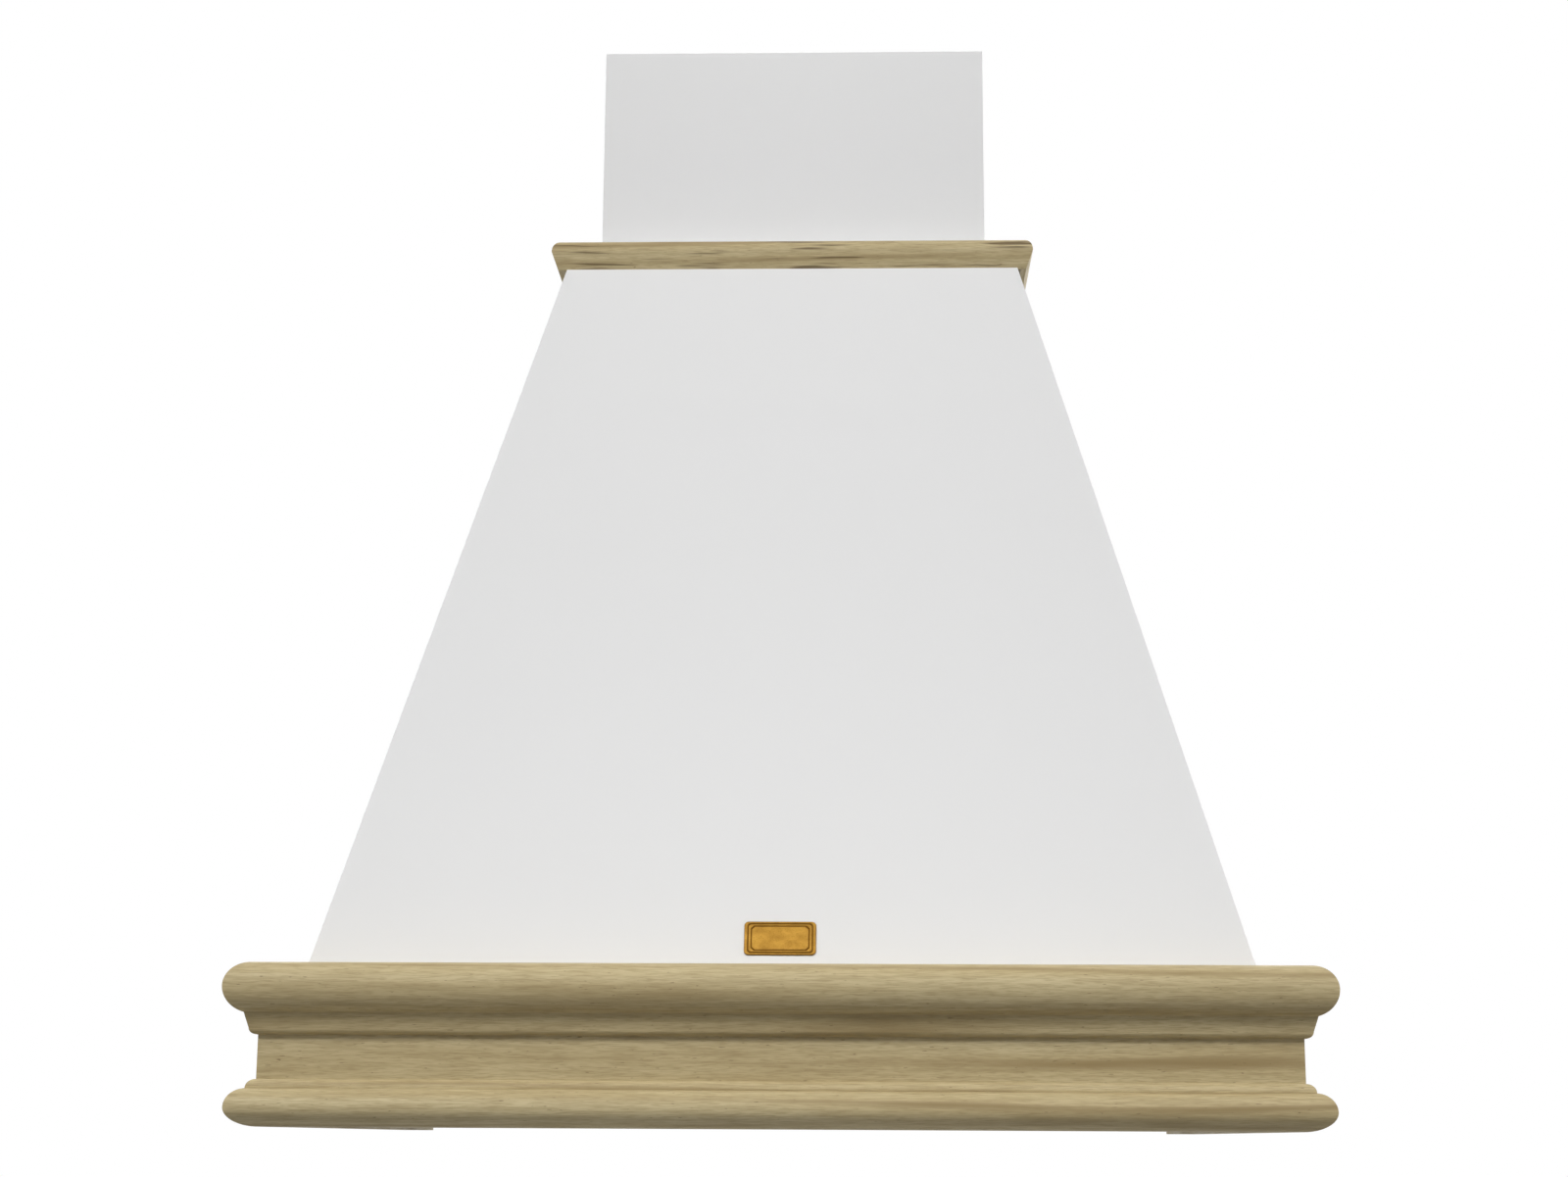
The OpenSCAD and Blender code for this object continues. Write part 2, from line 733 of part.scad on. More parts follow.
module base_pan() color([0.85, 0.85, 0.86]) from_underside() {
  x = skirt_x - sheet - pan_gap;
  y0 = -skirt_d + sheet + pan_gap;
  y1 = -sheet - pan_gap;
  difference() {
    xy_plate(pan_z, pan_z + sheet) difference() {
      block2(-x, y0, x, y1);
      pan_holes();
    }
    at_pan_screws() cylinder(h = 3 * sheet, r = screw_r + screw_play);
  }
  difference() {
    block([-x, y0, pan_z], [x, y1, pan_z + pan_edge]);
    block([-x + sheet, y0 + sheet, pan_z - eps], [x - sheet, y1 - sheet, pan_z + pan_edge + eps]);
  }
}

module badge_outline(inset)
  round_rect(badge_w - 2 * inset, badge_h - 2 * inset, badge_corner - badge_line);

module nameplate() color([0.72, 0.5, 0.16]) from_underside()
  translate([0, -skirt_d, foot_z]) rotate([90 - front_slope, 0, 0]) translate([0, badge_up, 0])
    difference() {
      linear_extrude(badge_t) round_rect(badge_w, badge_h, badge_corner);
      for (inset = [1, 2] * badge_border) translate([0, 0, badge_t - groove]) linear_extrude(eps)
        difference() {
          badge_outline(inset);
          badge_outline(inset + badge_line);
        }
    }

// The cassette's frame in its own place: x from its middle, y from its front edge
module filter_frame() {
  x = filter_w / 2;
  px = pocket_w / 2;
  t = filter_sheet;
  difference() {
    union() {
      difference() {
        block([-x, 0, 0], [x, filter_l, filter_t]);
        block([-x + t, t, t], [x - t, filter_l - t, filter_t - t]);
        block([-x + filter_rim, filter_rim, -eps], [x - filter_rim, filter_l - filter_rim, t + eps]);
        block([-x + filter_wall, filter_wall, t + eps],
          [x - filter_wall, filter_l - filter_wall, filter_t + eps]);
      }
      block([-px, 0, 0], [px, pocket_l, filter_t]);
    }
    block([-px + t, t, t], [px - t, pocket_l - t, filter_t - t]);
    block([-latch_w / 2 - slip, -eps, nose_low - filter_z - slip],
      [latch_w / 2 + slip, t + eps, latch_top - filter_z + slip]);
    block([-thumb_w / 2 - eps, thumb_y - eps, -eps],
      [thumb_w / 2 + eps, thumb_y + thumb_t + latch_travel + eps, t + eps]);
  }
  for (s = [-1, 1])
    rod_x([s * x - (s < 0 ? hinge_pin_l : t), filter_l - hinge_in, hinge_z - filter_z],
      hinge_pin_r, hinge_pin_l + t);
}

module place_filter(s) translate([s * filter_mid, filter_front_y, filter_z]) children();

module filter_frame_left() color([0.8, 0.81, 0.82]) from_underside() place_filter(-1) filter_frame();
module filter_frame_right() color([0.8, 0.81, 0.82]) from_underside() place_filter(1) filter_frame();

// The crimped layers of mesh that fill a cassette, round the latch's pocket
module filter_mesh() {
  x = filter_w / 2 - filter_sheet - close_fit;
  t = filter_sheet + close_fit;
  px = pocket_w / 2 + slip;
  n = 2 * floor(x / mesh_pitch * 2);
  step = 2 * x / n;
  high = filter_t - 2 * t - mesh_t;
  difference() {
    xz_plate(t, filter_l - t) translate([0, t]) polygon(concat(
      [for (i = [0 : n]) [-x + i * step, high * (i % 2)]],
      [for (i = [n : -1 : 0]) [-x + i * step, high * (i % 2) + mesh_t]]
    ));
    block([-px, -eps, -eps], [px, pocket_l + slip, filter_t + eps]);
  }
}

module filter_mesh_left() color([0.62, 0.63, 0.65]) from_underside() place_filter(-1) filter_mesh();
module filter_mesh_right() color([0.62, 0.63, 0.65]) from_underside() place_filter(1) filter_mesh();

// The latch: a slide with a nose at the front and a thumb tab below
module filter_latch() {
  x = latch_w / 2;
  y0 = filter_sheet + slip;
  low = latch_low - filter_z;
  top = latch_top - filter_z;
  block([-x, y0, low], [x, y0 + latch_l, top]);
  block([-x, -filter_gap - latch_nose, nose_low - filter_z], [x, y0 + eps, top]);
  block([-thumb_w / 2, thumb_y, -thumb_down], [thumb_w / 2, thumb_y + thumb_t, low + eps]);
}

module filter_latch_left() color([0.16, 0.16, 0.17]) from_underside() place_filter(-1) filter_latch();
module filter_latch_right() color([0.16, 0.16, 0.17]) from_underside() place_filter(1) filter_latch();

// Riveted ears on the pan that carry the cassettes' hinge pins
module filter_hinge_ears() color([0.7, 0.71, 0.72]) from_underside()
  for (s = [-1, 1], e = [-1, 1]) {
    x = s * filter_mid + e * (filter_w / 2 + filter_gap + ear_gap);
    x0 = e > 0 ? x : x - ear_t;
    foot0 = e > 0 ? x : x - ear_foot;
    y0 = hinge_y - ear_l / 2;
    y1 = hinge_y + ear_l / 2;
    difference() {
      union() {
        block([x0, y0, pan_z + sheet], [x0 + ear_t, y1, hinge_z + hinge_pin_r + 3]);
        block([foot0, y0, pan_z + sheet], [foot0 + ear_foot, y1, pan_z + 2 * sheet]);
      }
      rod_x([x0 - eps, hinge_y, hinge_z], hinge_pin_r + hinge_play, ear_t + 2 * eps);
    }
  }

// A lamp's ring: a flange below the pan and a tube through it
module lamp_bezel()
  difference() {
    union() {
      rod_z([0, 0, pan_z - plate_thick], lens_r + bezel_w, plate_thick);
      rod_z([0, 0, pan_z - lens_set], lamp_hole_r - slip, lamp_tube);
    }
    rod_z([0, 0, pan_z - plate_thick - eps], lens_r - lamp_rim, lamp_tube + 3 * eps);
    rod_z([0, 0, pan_z - lens_set], lens_r + close_fit, lamp_tube + eps);
  }

module lamp_lens() rod_z([0, 0, pan_z - lens_set], lens_r, lens_t);

// A lamp's body: a cup that clips over the ring's tube
module lamp_body()
  difference() {
    union() {
      rod_z([0, 0, lamp_low], lens_r + lamp_wall, lamp_h);
      rod_z([0, 0, lamp_top - lamp_cap - eps], lens_r * 0.75, lamp_cap + eps);
    }
    rod_z([0, 0, lamp_low - eps], lamp_hole_r - slip + close_fit, lamp_tube + 2 * eps);
    rod_z([0, 0, lamp_low], lens_r, lamp_h - lamp_rim);
  }

module place_lamp(s) translate([s * lamp_x, -lamp_y, 0]) children();

module lamp_bezel_left() color([0.85, 0.85, 0.86]) from_underside() place_lamp(-1) lamp_bezel();
module lamp_bezel_right() color([0.85, 0.85, 0.86]) from_underside() place_lamp(1) lamp_bezel();
module lamp_lens_left() color([0.95, 0.95, 0.9]) from_underside() place_lamp(-1) lamp_lens();
module lamp_lens_right() color([0.95, 0.95, 0.9]) from_underside() place_lamp(1) lamp_lens();
module lamp_body_left() color([0.75, 0.76, 0.78]) from_underside() place_lamp(-1) lamp_body();
module lamp_body_right() color([0.75, 0.76, 0.78]) from_underside() place_lamp(1) lamp_body();

function button_x(i) = (i - 2) * button_pitch;

// The plate round the push buttons, below the pan
module switch_plate() color([0.9, 0.9, 0.9]) from_underside()
  difference() {
    union() {
      xy_plate(pan_z - plate_thick, pan_z) translate([0, -button_y])
        round_rect(switch_w, switch_d, 4);
      xy_plate(pan_z - eps, switch_low - eps) translate([0, -button_y]) difference() {
        square([switch_cut_w - 2 * slip, switch_cut_d - 2 * slip], center = true);
        square([switch_cut_w - 2 * lamp_rim - 2 * slip, 2 * button_r + 3], center = true);
      }
    }
    for (i = [0 : 4]) rod_z([button_x(i), -button_y, 0], button_r + slip + close_fit, switch_low);
  }

// A push button: a cap, a flange that keeps it in, and a stem
module button(i) color([0.85, 0.85, 0.86]) from_underside()
  translate([button_x(i), -button_y, 0]) {
    low = pan_z - plate_thick - button_travel - button_proud;
    rod_z([0, 0, low], button_r, pan_z + slip + button_flange - low);
    rod_z([0, 0, pan_z + slip], button_r + 1, button_flange);
    rod_z([0, 0, pan_z + slip], stem_r, stem_top - pan_z - slip);
  }

module button_off() button(0);
module button_speed_1() button(1);
module button_speed_2() button(2);
module button_speed_3() button(3);
module button_light() button(4);

// The switch block above the pan, with a blind hole for each stem
module switch_block() color([0.2, 0.2, 0.22]) from_underside()
  difference() {
    x = switch_cut_w / 2 + 4;
    y = switch_cut_d / 2 + 4;
    union() {
      block([-x, -button_y - y, switch_low], [x, -button_y + y, switch_low + switch_h]);
      for (s = [-1, 1]) block([s * (x - 2) - 2, -button_y - y, pan_z + sheet],
        [s * (x - 2) + 2, -button_y + y, switch_low + eps]);
    }
    for (i = [0 : 4]) rod_z([button_x(i), -button_y, switch_low - eps], stem_r + slip,
      stem_top + button_travel + 1 - switch_low + eps);
  }

// The shelf that the blower hangs under, turned up at the back and at the front
module blower_plate() color([0.74, 0.75, 0.77]) from_underside()
  difference() {
    union() {
      block([-plate_w / 2, -plate_l, plate_z], [plate_w / 2, -sheet, plate_top]);
      block([-plate_w / 2, -2 * sheet, plate_z], [plate_w / 2, -sheet, plate_z + plate_lip]);
      block([-plate_w / 2, -plate_l, plate_z], [plate_w / 2, -plate_l + sheet, plate_z + plate_lip / 2]);
    }
    rod_z([0, -outlet_y, plate_z - eps], collar_in - 1, sheet + 2 * eps);
    blower_screw_holes();
  }

// Left half of the scroll, from its side wall to the seam
module scroll_half() {
  x = scroll_w / 2;
  difference() {
    union() {
      yz_bar(-x, 0) scroll_outline();
      yz_bar(-seam_t, 0) intersection() {
        scroll_outline(seam_w);
        block2(-hood_d, 0, 0, plate_z - 2 * scroll_flange_t);
      }
      block([-x - scroll_flange, throat_front - 12, plate_z - scroll_flange_t],
        [0, throat_back + 12, plate_z]);
    }
    yz_bar(-x + scroll_t, eps) scroll_outline(-scroll_t, eps);
    rod_x([-x - eps, shaft_y, shaft_z], inlet_r, scroll_t + 2 * eps);
    at_seam_screws() rod_x([-seam_t - eps, 0, 0], screw_r + screw_play, seam_t + 2 * eps);
    blower_screw_holes();
  }
}

module scroll_left() color([0.24, 0.25, 0.27]) from_underside() scroll_half();
module scroll_right() color([0.24, 0.25, 0.27]) from_underside() mirror([1, 0, 0]) scroll_half();

// The double rotor: a middle disc with a hub, blades through it and a ring at each end
module rotor() color([0.3, 0.31, 0.33]) from_underside()
  translate([0, shaft_y, shaft_z]) rotate([0, 90, 0]) {
    ring = 3;
    chord = 11;
    blade_t = 1;
    difference() {
      union() {
        translate([0, 0, -1]) cylinder(h = 2, r = rotor_r - 2);
        translate([0, 0, -hub_l]) cylinder(h = hub_l, r = hub_r);
      }
      translate([0, 0, -hub_l - eps]) cylinder(h = hub_l + 3 * eps, r = shaft_r + hub_fit);
    }
    for (s = [-1, 1]) translate([0, 0, s * (rotor_w - ring) / 2]) difference() {
      cylinder(h = ring, r = rotor_r, center = true);
      cylinder(h = ring + eps, r = rotor_r - chord + 1, center = true);
    }
    for (i = [0 : blades - 1]) rotate(i * 360 / blades)
      translate([rotor_r - chord, 0, -rotor_w / 2]) rotate(24)
        cube([chord - 2.5, blade_t, rotor_w]);
  }

module motor_shaft() color([0.75, 0.75, 0.76]) from_underside()
  rod_x([-hub_l - 2, shaft_y, shaft_z], shaft_r, hub_l + scroll_w / 2 - 2);

module motor() color([0.55, 0.56, 0.58]) from_underside()
  difference() {
    union() {
      rod_x([motor_low_x, shaft_y, shaft_z], motor_r, scroll_w / 2 - motor_low_x);
      rod_x([motor_low_x - 5, shaft_y, shaft_z], hub_r, 6);
    }
    rod_x([0, shaft_y, shaft_z], shaft_r + shaft_play, scroll_w / 2 - 3);
    for (a = [0 : 30 : 330]) translate([motor_low_x, shaft_y, shaft_z]) rotate([a, 0, 0])
      block([-eps, motor_r * 0.5, -1.5], [2, motor_r * 0.85, 1.5]);
  }

// The spider that carries the motor in the right-hand inlet
module motor_bracket() color([0.7, 0.71, 0.73]) from_underside()
  translate([scroll_w / 2, shaft_y, shaft_z]) rotate([0, 90, 0]) linear_extrude(bracket_t) {
    difference() {
      circle(inlet_r + 14);
      circle(inlet_r);
    }
    circle(motor_r - 4);
    for (a = [90, 210, 330]) rotate(a) translate([0, -6]) square([inlet_r + 4, 12]);
  }

// The round outlet above the mounting plate, with a ledge under the flaps
module duct_collar() color([0.22, 0.22, 0.24]) from_underside() translate([0, -outlet_y, 0])
  difference() {
    union() {
      xy_plate(plate_top, collar_z)
        round_rect(scroll_w + 2 * duct_flange, 2 * collar_r + 12, 8);
      rod_z([0, 0, plate_top], collar_r, collar_h);
    }
    rod_z([0, 0, plate_top - eps], collar_in - flap_ledge, collar_h + 2 * eps);
    rod_z([0, 0, flap_z - flap_down - slip], collar_in, collar_h);
    rod_x([-collar_r - eps, 0, flap_z], flap_pin_r + flap_pin_fit, 2 * collar_r + 2 * eps);
    translate([0, outlet_y, 0]) blower_screw_holes();
  }

// Knuckles of the front and rear flaps along the pin, as x0 and length
front_knuckles = [[-60, 24], [12, 22]];
rear_knuckles = [[-34, 22], [36, 24]];

// One half disc that points to +Y, with its own knuckles and room for the other's
module flap(own, other) {
  difference() {
    union() {
      intersection() {
        rod_z([0, 0, -flap_down], flap_r, flap_t);
        block([-flap_r, knuckle_gap, -2 * flap_down], [flap_r, flap_r, flap_down]);
      }
      for (k = own) rod_x([k[0], 0, 0], knuckle_r, k[1]);
    }
    rod_x([-flap_r - eps, 0, 0], flap_pin_r + flap_play, 2 * flap_r + 2 * eps);
    for (k = other)
      rod_x([k[0] - knuckle_gap, 0, 0], knuckle_r + knuckle_gap, k[1] + 2 * knuckle_gap);
  }
}

module flap_rear() color([0.32, 0.32, 0.34]) from_underside()
  translate([0, -outlet_y, flap_z]) flap(rear_knuckles, front_knuckles);

module flap_front() color([0.32, 0.32, 0.34]) from_underside()
  translate([0, -outlet_y, flap_z]) mirror([0, 1, 0]) flap(front_knuckles, rear_knuckles);

module flap_pin() color([0.75, 0.75, 0.76]) from_underside()
  rod_x([-collar_r + 0.5, -outlet_y, flap_z], flap_pin_r, 2 * collar_r - 1);

// The box for the mains terminals, on the back panel, open to the front
module terminal_box() color([0.9, 0.9, 0.88]) from_underside()
  translate([box_x, -sheet, box_z]) difference() {
    block([0, -box_d, 0], [box_w, 0, box_h]);
    block([box_wall, -box_d - eps, box_wall], [box_w - box_wall, -box_wall, box_h - box_wall]);
    rod_z([box_w / 2, -box_d / 2, box_h - box_wall - eps], gland_r + 2.5 + close_fit,
      box_wall + 2 * eps);
    rod_z([box_w / 2, -box_d / 2, -eps], loom_r + slip, box_wall + 2 * eps);
  }

module terminal_cover() color([0.9, 0.9, 0.88]) from_underside()
  translate([box_x, -sheet - box_d, box_z]) {
    in = box_wall + slip;
    block([0, -box_wall, 0], [box_w, 0, box_h]);
    block([in, -eps, in], [box_w - in, 3, 2 * box_wall]);
    block([in, -eps, box_h - 2 * box_wall], [box_w - in, 3, box_h - in]);
  }

// The gland through which the supply cable comes down into the terminal box
module cable_gland() color([0.15, 0.15, 0.16]) from_underside()
  translate([box_x + box_w / 2, -sheet - box_d / 2, box_z + box_h]) difference() {
    union() {
      cylinder(h = 6, r = gland_r + 5.5, $fn = 6);
      translate([0, 0, 5]) cylinder(h = 9, r = gland_r + 4);
      translate([0, 0, -8]) cylinder(h = 9, r = gland_r + 2.5);
      translate([0, 0, -5.3]) cylinder(h = 3, r = gland_r + 5, $fn = 6);
    }
    translate([0, 0, -10]) cylinder(h = 30, r = gland_r);
  }

cap_y = -sheet - cap_r - 3;
module capacitor() color([0.82, 0.82, 0.8]) from_underside() {
  rod_x([cap_x, cap_y, hang_h], cap_r, cap_l);
  rod_x([cap_x - 3, cap_y, hang_h], cap_r * 0.6, 4);
}

module capacitor_clip() color([0.7, 0.71, 0.73]) from_underside()
  difference() {
    clip_w = 14;
    clip_t = 1.5;
    x0 = cap_x + (cap_l - clip_w) / 2;
    union() {
      rod_x([x0, cap_y, hang_h], cap_r + clip_t, clip_w);
      block([x0, -sheet - clip_t, hang_h - cap_r - 10], [x0 + clip_w, -sheet, hang_h + cap_r + 10]);
      block([x0, cap_y, hang_h - 6], [x0 + clip_w, -sheet, hang_h + 6]);
    }
    rod_x([cap_x, cap_y, hang_h], cap_r + close_fit, cap_l);
  }

// A wire through a list of points, square at its ends and round at its bends
module wire(points) {
  last = len(points) - 1;
  for (i = [0 : last - 1]) {
    d = points[i + 1] - points[i];
    l = norm(d);
    translate(points[i]) rotate([0, acos(d[2] / l), atan2(d[1], d[0])]) cylinder(h = l, r = loom_r);
  }
  for (i = [1 : last - 1]) translate(points[i]) sphere(loom_r);
}

// Wiring from the terminal box over the blower's plate, down the left wall and along the skirt
// to the switches and lamps, and down on the right to the capacitor and the motor
module wiring_loom() color([0.3, 0.3, 0.32]) from_underside() {
  side = -skirt_x + sheet + loom_r + slip;
  high = lamp_top + 2 * loom_r;
  top = plate_top + 11;
  wx = plate_w / 2 + 12;
  bx = box_x + box_w / 2;
  by = -sheet - box_d / 2;
  sx = switch_cut_w / 2 + 4;
  sz = switch_low + switch_h / 2;
  mz = shaft_z + 10;
  wire([
    [bx, by, box_z + 2 * box_wall], [bx, by, top], [-wx, by, top], [-wx, by, high],
    [side, by, high], [side, -button_y, high], [-sx - 12, -button_y, high],
    [-sx - 12, -button_y, sz], [-sx, -button_y, sz]
  ]);
  wire([
    [sx, -button_y, sz], [sx + 12, -button_y, sz], [sx + 12, -button_y, high],
    [lamp_x, -button_y, high], [lamp_x, -button_y, lamp_top]
  ]);
  wire([
    [-lamp_x - 1, -button_y, high], [-lamp_x, -button_y, high], [-lamp_x, -button_y, lamp_top]
  ]);
  wire([
    [bx, by, top], [wx, by, top], [wx, by, mz], [wx, shaft_y, mz],
    [scroll_w / 2 + bracket_t, shaft_y, mz]
  ]);
  wire([[wx, by, mz], [wx + 12, by, mz], [wx + 12, by, hang_h + cap_r + slip]]);
}

// The chimney cover: a channel with its edges turned in at the wall
module chimney_cover() color([0.86, 0.86, 0.86]) from_underside()
  difference() {
    x = chimney_w / 2;
    t = chimney_t;
    xy_plate(chimney_low, chimney_top) difference() {
      block2(-x, -chimney_d, x, -wall_gap);
      block2(-x + t, -chimney_d + t, x - t, -wall_gap - t);
      block2(-x + chimney_lip, -wall_gap - 2 * t, x - chimney_lip, eps);
    }
    rod_x([-x - eps, chimney_screw_y, chimney_screw_z], screw_r + screw_play, 2 * x + 2 * eps);
  }

// The bracket that rides inside the cover and screws to the wall
module chimney_bracket() color([0.72, 0.73, 0.75]) from_underside()
  difference() {
    x = chimney_w / 2 - chimney_t - close_fit;
    y = -wall_gap - chimney_t - close_fit;
    z0 = chimney_screw_z - bracket_h / 2;
    z1 = chimney_screw_z + bracket_h / 2;
    union() {
      block([-x, y - chimney_bracket_t, z0], [x, y, z1]);
      for (s = [-1, 1]) block([s < 0 ? -x : x - chimney_bracket_t, -wall_gap - bracket_leg, z0],
        [s < 0 ? -x + chimney_bracket_t : x, y, z1]);
    }
    for (s = [-1, 1]) rod_y([s * bracket_holes / 2, y - chimney_bracket_t - eps, chimney_screw_z],
      bracket_hole_r, chimney_bracket_t + 2 * eps);
    rod_x([-x - eps, chimney_screw_y, chimney_screw_z], screw_r + screw_play, 2 * x + 2 * eps);
  }

module chimney_screws() color([0.8, 0.8, 0.8]) from_underside()
  for (s = [-1, 1])
    translate([s * chimney_w / 2, chimney_screw_y, chimney_screw_z])
      rotate([0, -s * 90, 0]) screw(screw_r, 8, small_head_r, 1.8);

module moulding_screws() color([0.75, 0.75, 0.76]) from_underside()
  at_moulding_screws() screw(screw_r, wood_screw_l, screw_head_r, screw_head_h);

module strip_screws() color([0.75, 0.75, 0.76]) from_underside() {
  at_strip_front_screws() screw(screw_r, strip_screw_l, screw_head_r, screw_head_h);
  for (s = [-1, 1]) at_strip_side_screws(s)
    screw(screw_r, strip_air + strip_screw_l, screw_head_r, screw_head_h);
}

module pan_screws() color([0.78, 0.78, 0.79]) from_underside()
  at_pan_screws() screw(screw_r, pan_screw_l, screw_head_r, screw_head_h);

module blower_screws() color([0.75, 0.75, 0.76]) from_underside()
  at_blower_screws() translate([0, 0, collar_flange_t]) rotate([180, 0, 0])
    screw(screw_r, blower_screw_l, screw_head_r, screw_head_h);

module scroll_screws() color([0.75, 0.75, 0.76]) from_underside()
  at_seam_screws() translate([-seam_t, 0, 0]) rotate([0, 90, 0])
    screw(screw_r, seam_screw_l, small_head_r, screw_head_h);

moulding_front();
moulding_left();
moulding_right();
strip_front();
strip_left();
strip_right();
strip_spacers();
canopy();
back_panel();
upper_wall_rail();
lower_wall_rail();
base_pan();
nameplate();
filter_frame_left();
filter_frame_right();
filter_mesh_left();
filter_mesh_right();
filter_latch_left();
filter_latch_right();
filter_hinge_ears();
lamp_bezel_left();
lamp_bezel_right();
lamp_lens_left();
lamp_lens_right();
lamp_body_left();
lamp_body_right();
switch_plate();
button_off();
button_speed_1();
button_speed_2();
button_speed_3();
button_light();
switch_block();
blower_plate();
scroll_left();
scroll_right();
rotor();
motor_shaft();
motor();
motor_bracket();
duct_collar();
flap_front();
flap_rear();
flap_pin();
terminal_box();
terminal_cover();
cable_gland();
capacitor();
capacitor_clip();
wiring_loom();
chimney_cover();
chimney_bracket();
chimney_screws();
moulding_screws();
strip_screws();
pan_screws();
blower_screws();
scroll_screws();
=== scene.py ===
import json
import math
import bmesh
import bpy
from mathutils import Matrix, Vector


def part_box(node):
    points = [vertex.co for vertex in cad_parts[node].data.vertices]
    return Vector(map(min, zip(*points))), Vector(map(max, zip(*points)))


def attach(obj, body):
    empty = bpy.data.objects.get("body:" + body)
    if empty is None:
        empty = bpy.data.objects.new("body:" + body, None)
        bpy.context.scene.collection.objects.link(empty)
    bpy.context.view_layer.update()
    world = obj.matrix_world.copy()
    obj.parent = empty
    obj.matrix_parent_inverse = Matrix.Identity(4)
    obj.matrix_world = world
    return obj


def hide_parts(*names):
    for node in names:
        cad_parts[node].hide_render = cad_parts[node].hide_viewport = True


# Wall hood in white enamel with a beech moulding: looks, light and camera.
# Lengths in the dictionaries of the pieces are millimetres, the scene is in metres.
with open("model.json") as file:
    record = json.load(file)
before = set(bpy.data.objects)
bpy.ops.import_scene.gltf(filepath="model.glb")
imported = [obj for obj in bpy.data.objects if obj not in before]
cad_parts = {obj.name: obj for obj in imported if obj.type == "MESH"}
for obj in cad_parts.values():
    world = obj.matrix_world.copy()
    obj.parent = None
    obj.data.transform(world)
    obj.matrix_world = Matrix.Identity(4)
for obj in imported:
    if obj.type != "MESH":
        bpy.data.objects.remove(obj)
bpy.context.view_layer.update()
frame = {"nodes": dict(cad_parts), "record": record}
nodes = frame["nodes"]
bodyOf = {name: body for body, names in frame["record"]["behaviour"]["bodies"].items() for name in names}
slotOf = {part["node"]: part["material_slot"] for part in frame["record"]["subparts"]}
mm = 0.001
print("frame loaded:", len(nodes), "nodes")


def linearColour(code):
    channels = [int(code[i:i + 2], 16) / 255 for i in (1, 3, 5)]
    return [c / 12.92 if c <= 0.04045 else ((c + 0.055) / 1.055) ** 2.4 for c in channels] + [1.0]


def addNode(tree, kind, inputs=None, **settings):
    # adds one node with its options; an input is a socket to link, a value or a hex colour
    node = tree.nodes.new(kind)
    for name, value in settings.items():
        setattr(node, name, value)
    for key, value in (inputs or {}).items():
        if isinstance(value, bpy.types.NodeSocket):
            tree.links.new(value, node.inputs[key])
        else:
            node.inputs[key].default_value = linearColour(value) if str(value).startswith("#") else value
    return node


def workOut(tree, known, steps):
    # each step names a result, a Math operation and what goes in: known names or numbers
    for name, operation, *parts in steps:
        inputs = {i: known.get(part, part) for i, part in enumerate(parts)}
        known[name] = addNode(tree, "ShaderNodeMath", inputs, operation=operation).outputs[0]
    return known


def newMaterial(name, colour, roughness, metallic=0.0):
    # a material with its shader, and Object coordinates in metres
    material = bpy.data.materials.new(name)
    material.use_nodes = True
    tree = material.node_tree
    shader = tree.nodes["Principled BSDF"]
    shader.inputs["Base Color"].default_value = linearColour(colour)
    shader.inputs["Roughness"].default_value = roughness
    shader.inputs["Metallic"].default_value = metallic
    place = addNode(tree, "ShaderNodeTexCoord").outputs["Object"]
    return material, tree, shader, place


def noiseAt(tree, place, sizes, detail=2.0, roughness=0.5, turn=0.0, shift=(0, 0, 0)):
    # noise whose blotches have these real sizes in mm along the turned axes
    where = addNode(tree, "ShaderNodeMapping", {"Vector": place, "Rotation": (0, 0, turn)})
    sized = addNode(tree, "ShaderNodeMapping", {
        "Vector": where.outputs["Vector"], "Scale": [1 / (size * mm) for size in sizes], "Location": shift})
    return addNode(tree, "ShaderNodeTexNoise", {
        "Vector": sized.outputs["Vector"], "Scale": 1.0, "Detail": detail,
        "Roughness": roughness}).outputs["Fac"]


def ramp(tree, field, low, high, start=0.0, end=1.0):
    # goes from start to end as a field rises from low to high
    return addNode(tree, "ShaderNodeMapRange", {
        "Value": field, "From Min": low, "From Max": high, "To Min": start, "To Max": end}).outputs["Result"]


def stain(tree, under, tint, field, low=0.0, high=1.0, most=1.0):
    # lays a tint over a colour as a field rises from low to high, up to a share of the tint
    share = ramp(tree, field, low, high, end=most)
    return addNode(tree, "ShaderNodeMix", {0: share, 6: under, 7: tint}, data_type="RGBA").outputs[2]


def roughen(tree, shader, field, smooth, rough, low=0.3, high=0.7):
    # takes the roughness from smooth to rough as a field rises from low to high
    tree.links.new(ramp(tree, field, low, high, smooth, rough), shader.inputs["Roughness"])


def relief(tree, shader, height, depth, strength):
    # raises the surface by a height field, whose real depth is in mm
    bump = addNode(tree, "ShaderNodeBump", {"Height": height, "Distance": depth * mm, "Strength": strength})
    tree.links.new(bump.outputs["Normal"], shader.inputs["Normal"])


def addObject(name, data):
    thing = bpy.data.objects.new(name, data)
    bpy.context.scene.collection.objects.link(thing)
    return thing


# Camera and light

